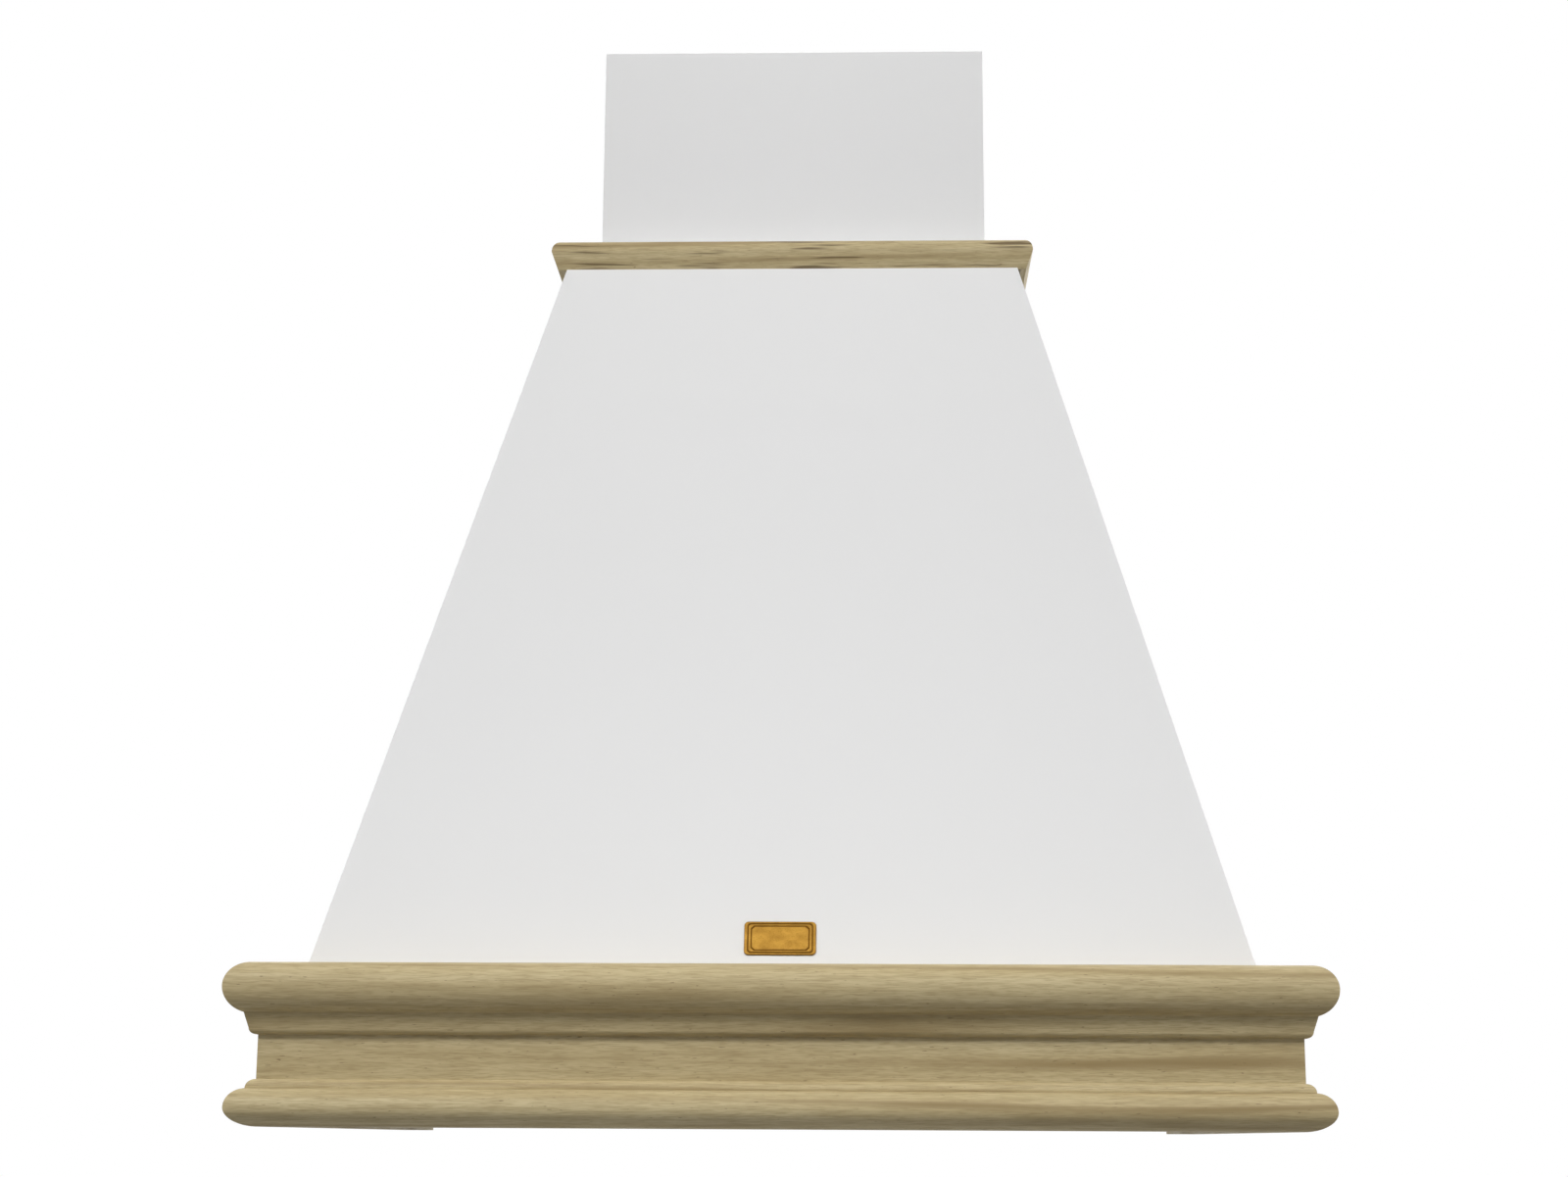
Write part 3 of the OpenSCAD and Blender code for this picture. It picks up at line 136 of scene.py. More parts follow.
view = {
    "place": (0.0447, -1.857, -0.2255),
    "pitchUp": 0.2136,
    "turnLeft": 0.0307,
    "roll": 0.0055,
    "lens": 58.37,
    "sensor": 36,
}
cameraData = bpy.data.cameras.new("photoCamera")
cameraData.lens = view["lens"]
cameraData.sensor_width = view["sensor"]
camera = addObject("photoCamera", cameraData)
camera.matrix_world = (Matrix.Translation(view["place"]) @ Matrix.Rotation(view["turnLeft"], 4, "Z")
                       @ Matrix.Rotation(math.pi / 2 + view["pitchUp"], 4, "X")
                       @ Matrix.Rotation(view["roll"], 4, "Z"))
bpy.context.scene.camera = camera
bpy.context.scene.view_settings.view_transform = "Standard"

# place, aim and size in metres, grid is the beam's full angle in degrees
softboxes = {
    "keyLeft": {"place": (-2.2, -3.4, 3.1), "aim": (0.1, -0.4, -0.9), "size": 1.8, "watts": 9.9, "grid": 50},
    "keyRight": {"place": (2.2, -3.4, 3.1), "aim": (-0.1, -0.4, -0.9), "size": 1.8, "watts": 9.3, "grid": 50},
    "chimneyFront": {"place": (0, -3.2, 0.7), "aim": (0, -0.2, 0.64), "size": 0.5, "watts": 0.29, "grid": 20},
    "canopyFoot": {"place": (0, -2.6, 1.9), "aim": (0, -0.45, -0.2), "size": 0.5, "watts": 0.05, "grid": 12},
    "sideLeft": {"place": (-2.6, 0.3, 0.8), "aim": (0, -0.2, 0), "size": 1.6, "watts": 10, "grid": 120},
    "sideRight": {"place": (2.6, 0.3, 0.8), "aim": (0, -0.2, 0), "size": 1.6, "watts": 10, "grid": 120},
    "rear": {"place": (0, 3.2, 1.9), "aim": (0, 0, 0.1), "size": 2.0, "watts": 24, "grid": 120},
    "underPan": {"place": (0, -0.19, -2.5), "aim": (0, -0.19, 0), "size": 0.3, "watts": 0.16, "grid": 13},
}
for name, box in softboxes.items():
    lightData = bpy.data.lights.new(name, "AREA")
    lightData.shape = "SQUARE"
    lightData.size = box["size"]
    lightData.energy = box["watts"]
    lightData.spread = math.radians(box["grid"])
    light = addObject(name, lightData)
    light.location = box["place"]
    light.rotation_euler = (Vector(box["aim"]) - Vector(box["place"])).to_track_quat("-Z", "Y").to_euler()
    light.visible_camera = False

# what is seen directly or mirrored is white, what only lights is dim; lengths in metres
studio = {
    "roomLight": 0.24, "floorHeight": -2.8, "floorSize": 14, "floorFade": (1.3, 3.2),
    "floorColour": "#E9E9E9", "floorRoughness": 0.8,
}
world = bpy.data.worlds.new("paleStudio")
bpy.context.scene.world = world
world.use_nodes = True
tree = world.node_tree
rays = addNode(tree, "ShaderNodeLightPath").outputs
known = workOut(tree, {
    "camera": rays["Is Camera Ray"], "mirror": rays["Is Glossy Ray"], "glass": rays["Is Transmission Ray"],
}, (("direct", "MAXIMUM", "camera", "mirror"), ("seen", "MAXIMUM", "direct", "glass")))
strength = addNode(tree, "ShaderNodeMapRange", {"Value": known["seen"], "To Min": studio["roomLight"]})
background = tree.nodes["Background"]
background.inputs["Color"].default_value = (1, 1, 1, 1)
tree.links.new(strength.outputs["Result"], background.inputs["Strength"])


def studioFloor():
    # the pale floor under a hood on the wall; past the object it turns into the white background
    material, tree, shader, place = newMaterial("paleFloor", studio["floorColour"], studio["floorRoughness"])
    reach = addNode(tree, "ShaderNodeVectorMath", {0: place}, operation="LENGTH").outputs["Value"]
    far = ramp(tree, reach, *studio["floorFade"])
    seen = addNode(tree, "ShaderNodeLightPath").outputs["Is Camera Ray"]
    share = addNode(tree, "ShaderNodeMath", {0: far, 1: seen}, operation="MULTIPLY")
    white = addNode(tree, "ShaderNodeEmission", {"Strength": 1.0})
    mix = addNode(tree, "ShaderNodeMixShader", {
        0: share.outputs[0], 1: shader.outputs[0], 2: white.outputs[0]})
    tree.links.new(mix.outputs[0], tree.nodes["Material Output"].inputs["Surface"])
    half = studio["floorSize"] / 2
    mesh = bpy.data.meshes.new("studioFloor")
    corners = [(-half, -half, 0), (half, -half, 0), (half, half, 0), (-half, half, 0)]
    mesh.from_pydata(corners, [], [(0, 1, 2, 3)])
    mesh.materials.append(material)
    floor = addObject("studioFloor", mesh)
    floor.location = (0, 0, studio["floorHeight"])


studioFloor()
print("camera, light and floor set")

# Materials

beech = {
    "paleWood": "#C7B890",
    "warmWood": "#B6A378",
    "lateWood": "#958159",
    "fleckWood": "#6F5C3C",
    "streakWood": "#503B20",
    "roughness": 0.52,
    "smoothToRough": (0.46, 0.6),
    "specular": 0.3,
    # growth rings: their width, the width that the wave node draws at scale 1, and their stretch
    "ringWidth": 10.0,
    "wavePeriod": 314.0,
    "stretch": (0.11, 1, 1),
    # each pattern of the grain: length and width in mm, detail and roughness of its noise
    "broad": (170, 13, 2.0, 0.5),
    "fibre": (30, 1.8, 1.0, 0.5),
    "thread": (8, 0.45, 1.0, 0.5),
    "fleck": (4.0, 0.7, 0.0, 0.4),
    "streak": (46, 2.3, 1.0, 0.4),
    # depth in mm and strength
    "relief": (0.06, 0.4),
    # where in the log each board is cut
    "cutAt": {"front": (0.31, 0.046, 0.0545), "right": (0.12, 0.035, 0.061), "left": (0.77, 0.052, 0.047)},
}


def beechBoard(name, turn=0.0, shift=(0, 0, 0), streaks=0.0):
    # steamed beech, planed and lacquered satin: fine straight fibres, short dark ray flecks
    # and soft growth rings that open into arches where the cut runs along them
    material, tree, shader, place = newMaterial(name, beech["paleWood"], beech["roughness"])
    shader.inputs["Specular IOR Level"].default_value = beech["specular"]
    turned = addNode(tree, "ShaderNodeMapping", {"Vector": place, "Rotation": (0, 0, turn)})
    along = addNode(tree, "ShaderNodeMapping", {
        "Vector": turned.outputs["Vector"], "Scale": beech["stretch"], "Location": shift})
    rings = addNode(tree, "ShaderNodeTexWave", {
        "Vector": along.outputs["Vector"], "Scale": beech["wavePeriod"] / beech["ringWidth"],
        "Distortion": 8.0, "Detail": 2.0, "Detail Scale": 0.45, "Detail Roughness": 0.5,
    }, wave_type="RINGS", rings_direction="X").outputs["Fac"]

    def grain(kind):
        # noise drawn out along the board
        length, width, detail, spread = beech[kind]
        return noiseAt(tree, place, (length, width, width), detail, spread, turn, shift)

    broad, fibres = grain("broad"), grain("fibre")
    ringEdge = ramp(tree, rings, low=0.8, high=1.0)
    patch = ramp(tree, broad, low=0.4, high=0.7)
    lines = addNode(tree, "ShaderNodeMath", {0: ringEdge, 1: patch}, operation="MULTIPLY").outputs[0]
    threads = ramp(tree, grain("thread"), low=0.48, high=0.64, end=0.42)
    colour = stain(tree, beech["paleWood"], beech["warmWood"], rings, low=0.1, high=0.9, most=0.45)
    colour = stain(tree, colour, beech["warmWood"], broad, low=0.45, high=0.75, most=0.6)
    colour = stain(tree, colour, beech["lateWood"], lines)
    colour = stain(tree, colour, beech["lateWood"], fibres, low=0.42, high=0.62, most=0.3)
    colour = stain(tree, colour, beech["lateWood"], threads)
    colour = stain(tree, colour, beech["fleckWood"], grain("fleck"), low=0.8, high=0.87, most=0.7)
    if streaks:
        colour = stain(tree, colour, beech["streakWood"], grain("streak"), low=0.61, high=0.72, most=streaks)
    tree.links.new(colour, shader.inputs["Base Color"])
    roughen(tree, shader, fibres, *beech["smoothToRough"])
    height = addNode(tree, "ShaderNodeMath", {0: fibres, 1: threads}, operation="SUBTRACT").outputs[0]
    relief(tree, shader, height, *beech["relief"])
    return material


def whiteEnamel(name, colour="#E9E9E9", roughness=0.6, peelSize=1.6, patchSize=45):
    # powder-coated sheet steel: an even satin white with a faint orange-peel skin
    material, tree, shader, place = newMaterial(name, colour, roughness)
    shader.inputs["Specular IOR Level"].default_value = 0.3
    relief(tree, shader, noiseAt(tree, place, (peelSize,) * 3), depth=0.02, strength=0.35)
    patches = noiseAt(tree, place, (patchSize,) * 3)
    roughen(tree, shader, patches, roughness - 0.03, roughness + 0.03)
    return material


def galvanisedSheet(name, crystal=5):
    # electro-galvanised steel: an even grey zinc coat in faint flat crystals some 5 mm across
    material, tree, shader, place = newMaterial(name, "#B4B7BB", 0.45, metallic=1.0)
    sized = addNode(tree, "ShaderNodeMapping", {"Vector": place, "Scale": (1 / (crystal * mm),) * 3})
    spangle = addNode(tree, "ShaderNodeTexVoronoi", {
        "Vector": sized.outputs["Vector"], "Scale": 1.0, "Randomness": 1.0})
    shade = addNode(tree, "ShaderNodeSeparateColor", {"Color": spangle.outputs["Color"]}).outputs[0]
    tree.links.new(stain(tree, "#AEB1B5", "#BCBFC2", shade), shader.inputs["Base Color"])
    roughen(tree, shader, shade, 0.44, 0.52, low=0.0, high=1.0)
    return material


def brushedMetal(name, colour, roughness, lineSize=(60, 0.4, 0.4)):
    # rolled or brushed metal: fine parallel lines that spread the gloss
    material, tree, shader, place = newMaterial(name, colour, roughness, metallic=1.0)
    lines = noiseAt(tree, place, lineSize)
    roughen(tree, shader, lines, roughness - 0.07, roughness + 0.09)
    relief(tree, shader, lines, depth=0.02, strength=0.25)
    return material


def lacqueredBrass(name, cloudSize=(7, 5, 5), gritSize=0.5):
    # stamped brass, blasted and patinated: mottled satin gold, darker in the incised lines
    material, tree, shader, place = newMaterial(name, "#9C7430", 0.58, metallic=1.0)
    cloud = noiseAt(tree, place, cloudSize, detail=3.0)
    grit = noiseAt(tree, place, (gritSize,) * 3)
    patina = addNode(tree, "ShaderNodeAttribute", attribute_name="patina").outputs["Fac"]
    colour = stain(tree, "#9C7834", "#88652A", cloud, low=0.35, high=0.7)
    colour = stain(tree, colour, "#6E4A16", grit, low=0.5, high=0.75, most=0.3)
    colour = stain(tree, colour, "#5A3B12", patina)
    tree.links.new(colour, shader.inputs["Base Color"])
    roughen(tree, shader, grit, 0.5, 0.66)
    relief(tree, shader, grit, depth=0.03, strength=0.4)
    return material


def mouldedPlastic(name, colour, roughness, grain=0.8):
    # injection-moulded plastic with a spark-eroded skin
    material, tree, shader, place = newMaterial(name, colour, roughness)
    skin = noiseAt(tree, place, (grain,) * 3)
    relief(tree, shader, skin, depth=0.03, strength=0.4)
    roughen(tree, shader, skin, roughness - 0.05, roughness + 0.06)
    return material


def frostedGlass(name, frostSize=1.2):
    # pressed lamp glass, etched on its inside: milky, with a soft gloss
    material, tree, shader, place = newMaterial(name, "#F6F6F2", 0.35)
    shader.inputs["Transmission Weight"].default_value = 0.4
    shader.inputs["IOR"].default_value = 1.5
    relief(tree, shader, noiseAt(tree, place, (frostSize,) * 3, detail=1.0), depth=0.05, strength=0.4)
    return material


finishes = {
    "beech": beechBoard("beechPlain"),
    "spacer_wood": beechBoard("beechSawn", 0.0, (0.4, 0.1, 0.2)),
    "white_enamel": whiteEnamel("whiteEnamel"),
    "white_pan": whiteEnamel("whiteEnamelPan", "#E8E8E9", 0.45),
    "galvanised": galvanisedSheet("galvanisedSteel"),
    "polished_brass": lacqueredBrass("lacqueredBrass"),
    "filter_aluminium": brushedMetal("anodisedAluminium", "#C9CBCE", 0.34),
    "filter_mesh": brushedMetal("expandedAluminium", "#DADCDF", 0.42, (4, 1, 1)),
    "latch_black": mouldedPlastic("blackAbsLatch", "#242426", 0.42),
    "lamp_ring": whiteEnamel("enamelledLampRing", "#E4E4E5", 0.3),
    "lamp_glass": frostedGlass("frostedLampGlass"),
    "lamp_can": brushedMetal("spunAluminiumCan", "#C4C6C9", 0.3),
    "switch_white": mouldedPlastic("whiteAbsPlate", "#E8E8E6", 0.45),
    "button_white": mouldedPlastic("whiteAbsButton", "#DEDEDD", 0.28, 0.6),
    "black_plastic": mouldedPlastic("blackPolypropylene", "#2A2A2D", 0.5),
    "housing_plastic": mouldedPlastic("greyPolypropyleneHousing", "#3E4044", 0.48),
    "rotor_plastic": mouldedPlastic("greyNylonRotor", "#4C4F53", 0.5),
    "motor_metal": brushedMetal("dieCastMotorShell", "#8F9296", 0.5, (1.5, 1.5, 1.5)),
    "bright_steel": brushedMetal("zincPlatedSteel", "#B4B6B4", 0.42, (1.0, 1.0, 1.0)),
    "box_plastic": mouldedPlastic("paleAbsBox", "#E3E2DA", 0.5),
    "capacitor_plastic": mouldedPlastic("capacitorCase", "#D8D8D2", 0.35),
    "loom_grey": mouldedPlastic("greyPvcSheath", "#5A5A5E", 0.4, 2.5),
}
for name, node in nodes.items():
    for place in node.material_slots:
        place.material = finishes[slotOf[name]]
print("materials made:", len(finishes))


# What the trees and the meshes share

def newTree(name, sockets):
    # a node tree with these inputs, each of its kind, that gives a mesh
    tree = bpy.data.node_groups.new(name, "GeometryNodeTree")
    for socket, kind in sockets.items():
        tree.interface.new_socket(socket, in_out="INPUT", socket_type="NodeSocket" + kind)
    tree.interface.new_socket("Geometry", in_out="OUTPUT", socket_type="NodeSocketGeometry")
    given = addNode(tree, "NodeGroupInput").outputs
    return tree, {socket.name: socket for socket in given}


def pulledSolid(tree, face, length):
    # pulls a flat face along X into a closed solid
    reach = addNode(tree, "ShaderNodeCombineXYZ", {"X": length}).outputs[0]
    pulled = addNode(tree, "GeometryNodeExtrudeMesh", {
        "Mesh": face, "Offset": reach, "Offset Scale": 1.0, "Individual": False}, mode="FACES")
    foot = addNode(tree, "GeometryNodeFlipFaces", {"Mesh": face})
    joined = addNode(tree, "GeometryNodeJoinGeometry")
    for part in (pulled, foot):
        tree.links.new(part.outputs["Mesh"], joined.inputs[0])
    return addNode(tree, "GeometryNodeMergeByDistance", {
        "Geometry": joined.outputs[0], "Distance": 0.001 * mm}).outputs[0]


def endTree(tree, shape, finish):
    # makes the shape real, gives it its finish and hands it out
    real = addNode(tree, "GeometryNodeRealizeInstances", {"Geometry": shape})
    dressed = addNode(tree, "GeometryNodeSetMaterial", {"Geometry": real.outputs[0], "Material": finish})
    addNode(tree, "NodeGroupOutput", {0: dressed.outputs[0]})
    return tree


def onlyFinish(mesh, finish):
    # leaves one material slot, used by every face
    mesh.materials.clear()
    mesh.materials.append(finish)
    mesh.polygons.foreach_set("material_index", [0] * len(mesh.polygons))


def seenMesh(thing):
    # the mesh as its modifiers leave it
    bpy.context.view_layer.update()
    return bpy.data.meshes.new_from_object(thing.evaluated_get(bpy.context.evaluated_depsgraph_get()))


def throughTree(name, mesh, tree, inputs):
    # runs a mesh through a node tree and keeps the plain result
    work = addObject(name + "Work", mesh)
    modifier = work.modifiers.new("shape", "NODES")
    modifier.node_group = tree
    sockets = {item.name: item.identifier for item in tree.interface.items_tree
               if item.item_type == "SOCKET" and item.in_out == "INPUT"}
    for key, value in inputs.items():
        modifier[sockets[key]] = value
    work.update_tag()
    result = seenMesh(work)
    result.name = name
    onlyFinish(result, inputs["Finish"])
    bpy.data.objects.remove(work)
    return addObject(name, result)


def addShape(name, shape, sharpFrom=None):
    # makes an object of the shape; edges bent by fewer degrees than sharpFrom are shaded round
    if sharpFrom:
        for side in shape.faces:
            side.smooth = True
        for edge in shape.edges:
            edge.smooth = len(edge.link_faces) == 2 and edge.calc_face_angle() < math.radians(sharpFrom)
    mesh = bpy.data.meshes.new(name)
    shape.to_mesh(mesh)
    shape.free()
    return addObject(name, mesh)


def joinPieces(name, pieces, finish):
    # joins plain pieces into one mesh of one finish
    shape = bmesh.new()
    for piece in pieces:
        shape.from_mesh(piece.data)
    joined = addShape(name, shape)
    onlyFinish(joined.data, finish)
    for piece in pieces:
        bpy.data.objects.remove(piece)
    return joined


def footMiddle(low, high, shiftY=0.0):
    # the middle of a box's underside, or a point beside it along Y
    return Vector(((low.x + high.x) / 2, (low.y + high.y) / 2 + shiftY, low.z))


def settle(piece, body, slot, *replaced):
    # the piece rides on its body and stands for its nodes; its slot is not used
    if replaced:
        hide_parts(*replaced)
    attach(piece, body)


# Boards with a moulded section

def arc(middle, radius, first, last, count, high=None):
    # points on an arc, or on an ellipse with another height, from the first to the last degree
    turns = [math.radians(first + (last - first) * i / count) for i in range(count + 1)]
    return [(middle[0] + radius * math.cos(a), middle[1] + (high or radius) * math.sin(a)) for a in turns]


# beadFrom and lowBeadTo are the angles in degrees where a bead meets the ovolo beside it
moulding = {
    "width": 600, "depth": 480, "height": 88, "thickness": 38, "foot": -220,
    "bead": 13.4, "beadUnder": 14.2, "lowBead": 10.2, "lowBeadUnder": 16, "lowBeadSet": 2.8,
    "friezeSet": 17, "friezeTop": 49.2, "ovolo": 3.4, "ovoloSet": 16, "lowOvolo": 4.9,
    "beadFrom": 255.8, "lowBeadTo": 93.4, "streaks": 0.0,
}
strip = {
    "width": 315.2, "depth": 278.2, "height": 20, "thickness": 7.7, "foot": 332,
    "round": 6.7, "roundHeight": 8.5, "lean": 4.2, "streaks": 0.75,
}


def mouldingSection(size):
    # from the back foot round the front to the back top, x inwards and y up
    bead, low, thick = size["bead"], size["lowBead"], size["thickness"]
    under, lowMiddle = size["lowBeadUnder"], size["lowBeadSet"] + low
    beadMiddle = (bead, size["height"] - bead)
    points = [(thick, 0)]
    points += arc((size["lowBeadSet"] + under, low), under, 270, 180, 18, low)
    points += arc((lowMiddle, low), low, 180, size["lowBeadTo"], 14)[1:]
    points += arc((size["friezeSet"], 2 * low), size["lowOvolo"], 180, 90, 10)
    points += [(size["friezeSet"], size["friezeTop"])]
    points += arc((size["ovoloSet"], size["friezeTop"] + size["ovolo"]), size["ovolo"], 270, 180, 8)
    points += arc(beadMiddle, bead, size["beadFrom"], 180, 18, size["beadUnder"])
    points += arc(beadMiddle, bead, 180, 90, 20)[1:]
    points += [(thick, size["height"])]
    return points


def stripSection(size):
    straight = size["height"] - size["roundHeight"]
    points = [(size["thickness"], 0), (size["lean"], 0)]
    points += arc((size["round"], straight), size["round"], 180, 90, 16, size["roundHeight"])
    points += [(size["thickness"], size["height"])]
    return points


def mitredBoardTree(sharpFrom=0.5):
    # sweeps a section along X, mitres its ends, turns it and puts it in place;
    # edges bent by more than sharpFrom, in radians, stay sharp
    tree, given = newTree("mitredBoard", {
        "Geometry": "Geometry", "Length": "Float", "Start Mitre": "Float", "End Mitre": "Float",
        "Turn": "Vector", "Place": "Vector", "Finish": "Material"})
    solid = pulledSolid(tree, given["Geometry"], given["Length"])
    where = addNode(tree, "GeometryNodeInputPosition").outputs[0]
    parts = addNode(tree, "ShaderNodeSeparateXYZ", {0: where}).outputs
    known = workOut(tree, {**given, "x": parts["X"], "y": parts["Y"]}, (
        ("share", "DIVIDE", "x", "Length"),
        ("rest", "SUBTRACT", 1.0, "share"),
        ("start", "MULTIPLY", "rest", "Start Mitre"),
        ("end", "MULTIPLY", "share", "End Mitre"),
        ("shear", "SUBTRACT", "start", "end"),
        ("slide", "MULTIPLY", "shear", "y"),
    ))
    offset = addNode(tree, "ShaderNodeCombineXYZ", {"X": known["slide"]}).outputs[0]
    mitred = addNode(tree, "GeometryNodeSetPosition", {"Geometry": solid, "Offset": offset})
    soft = addNode(tree, "GeometryNodeSetShadeSmooth", {
        "Geometry": mitred.outputs[0], "Shade Smooth": True}, domain="FACE")
    angle = addNode(tree, "GeometryNodeInputMeshEdgeAngle").outputs["Unsigned Angle"]
    steep = addNode(tree, "FunctionNodeCompare", {0: angle, 1: sharpFrom}, data_type="FLOAT",
                    operation="GREATER_THAN").outputs[0]
    crisp = addNode(tree, "GeometryNodeSetShadeSmooth", {
        "Geometry": soft.outputs[0], "Selection": steep, "Shade Smooth": False}, domain="EDGE")
    placed = addNode(tree, "GeometryNodeTransform", {
        "Geometry": crisp.outputs[0], "Rotation": given["Turn"], "Translation": given["Place"]})
    return endTree(tree, placed.outputs[0], given["Finish"])


def makeBoards():
    tree = mitredBoardTree()
    quarter = math.pi / 2
    kinds = {"moulding": (moulding, mouldingSection(moulding)), "strip": (strip, stripSection(strip))}
    for kind, (size, outline) in kinds.items():
        half, depth, foot = size["width"] / 2 * mm, size["depth"] * mm, size["foot"] * mm
        ring = [(0, x * mm, z * mm) for x, z in reversed(outline)]
        # each board: length, mitre at its start and at its end, turn and place of its start
        runs = {
            "front": (2 * half, 1.0, 1.0, 0.0, (-half, -depth, foot)),
            "right": (depth, 1.0, 0.0, quarter, (half, -depth, foot)),
            "left": (depth, 0.0, 1.0, -quarter, (-half, 0.0, foot)),
        }
        for side, (length, start, end, turn, place) in runs.items():
            name = kind + side.capitalize()
            mesh = bpy.data.meshes.new(name)
            mesh.from_pydata(ring, [], [tuple(range(len(ring)))])
            wood = "beech" + kind.capitalize() + side.capitalize()
            piece = throughTree(name, mesh, tree, {
                "Length": length, "Start Mitre": start, "End Mitre": end,
                "Turn": (0, 0, turn), "Place": place,
                "Finish": beechBoard(wood, -turn, beech["cutAt"][side], size["streaks"])})
            settle(piece, "hood", "beech", kind + "_" + side)
    print("boards swept: 6")


makeBoards()


# Folded and moulded parts: copies of the frame's solids with merged faces and softened edges

softened = {
    "canopy": ("canopyShell", 0.7),
    "chimney_cover": ("chimneySleeve", 0.5),
    "base_pan": ("basePan", 0.4),
    "switch_plate": ("switchPlate", 0.5),
    "lamp_bezel_left": ("lampRingLeft", 0.6),
    "lamp_bezel_right": ("lampRingRight", 0.6),
    "filter_frame_left": ("filterFrameLeft", 0.25),
    "filter_frame_right": ("filterFrameRight", 0.25),
    "filter_latch_left": ("filterLatchLeft", 0.4),
    "filter_latch_right": ("filterLatchRight", 0.4),
    "terminal_cover": ("terminalCover", 0.8),
    "capacitor": ("capacitorCan", 0.8),
    "duct_collar": ("ductCollar", 0.4),
    "scroll_left": ("scrollHalfLeft", 0.5),
    "scroll_right": ("scrollHalfRight", 0.5),
    "motor": ("motorShell", 0.8),
    "wiring_loom": ("wiringLoom", 0.0),
}


def flatShaded(piece):
    # weights the normals by area, so that a large flat face stays even beside its rounded edges
    weighted = piece.modifiers.new("flatFaces", "WEIGHTED_NORMAL")
    weighted.keep_sharp = True
    weighted.weight = 100
    mesh = seenMesh(piece)
    piece.modifiers.remove(weighted)
    piece.data = mesh


def softenNode(node, name, width, flatTo=0.5, roundFrom=35):
    # copies a node, merges its triangles where they lie flat to within flatTo degrees,
    # and rounds by a width in mm the edges that are bent by more than roundFrom degrees
    shape = bmesh.new()
    shape.from_mesh(nodes[node].data)
    bmesh.ops.remove_doubles(shape, verts=shape.verts, dist=0.002 * mm)
    bmesh.ops.dissolve_limit(shape, angle_limit=math.radians(flatTo), verts=shape.verts, edges=shape.edges)
    if width:
        least = math.radians(roundFrom)
        sharp = [e for e in shape.edges if len(e.link_faces) == 2 and e.calc_face_angle() > least]
        bmesh.ops.bevel(shape, geom=sharp, offset=width * mm, offset_type="OFFSET", segments=2,
                        profile=0.5, affect="EDGES", clamp_overlap=True)
    piece = addShape(name, shape, sharpFrom=32)
    piece.data.materials.append(finishes[slotOf[node]])
    if width:
        flatShaded(piece)
    settle(piece, bodyOf[node], slotOf[node], node)


for node, (name, width) in softened.items():
    softenNode(node, name, width)
print("edges softened:", len(softened))


# Grease filters: three pleated layers of expanded aluminium in each cassette

# slopes counts the pleats' slopes, endGaps is left free along the length,
# bond is how many radii short of the middle between two rows a strand bends back
filterMesh = {
    "columns": 73, "rows": 87, "strandRadius": 0.52, "bond": 0.8, "slopes": 36, "endGaps": 4,
    "pocketWidth": 53, "pocketLength": 36, "layers": (0.0, 1.0, 0.5),
}


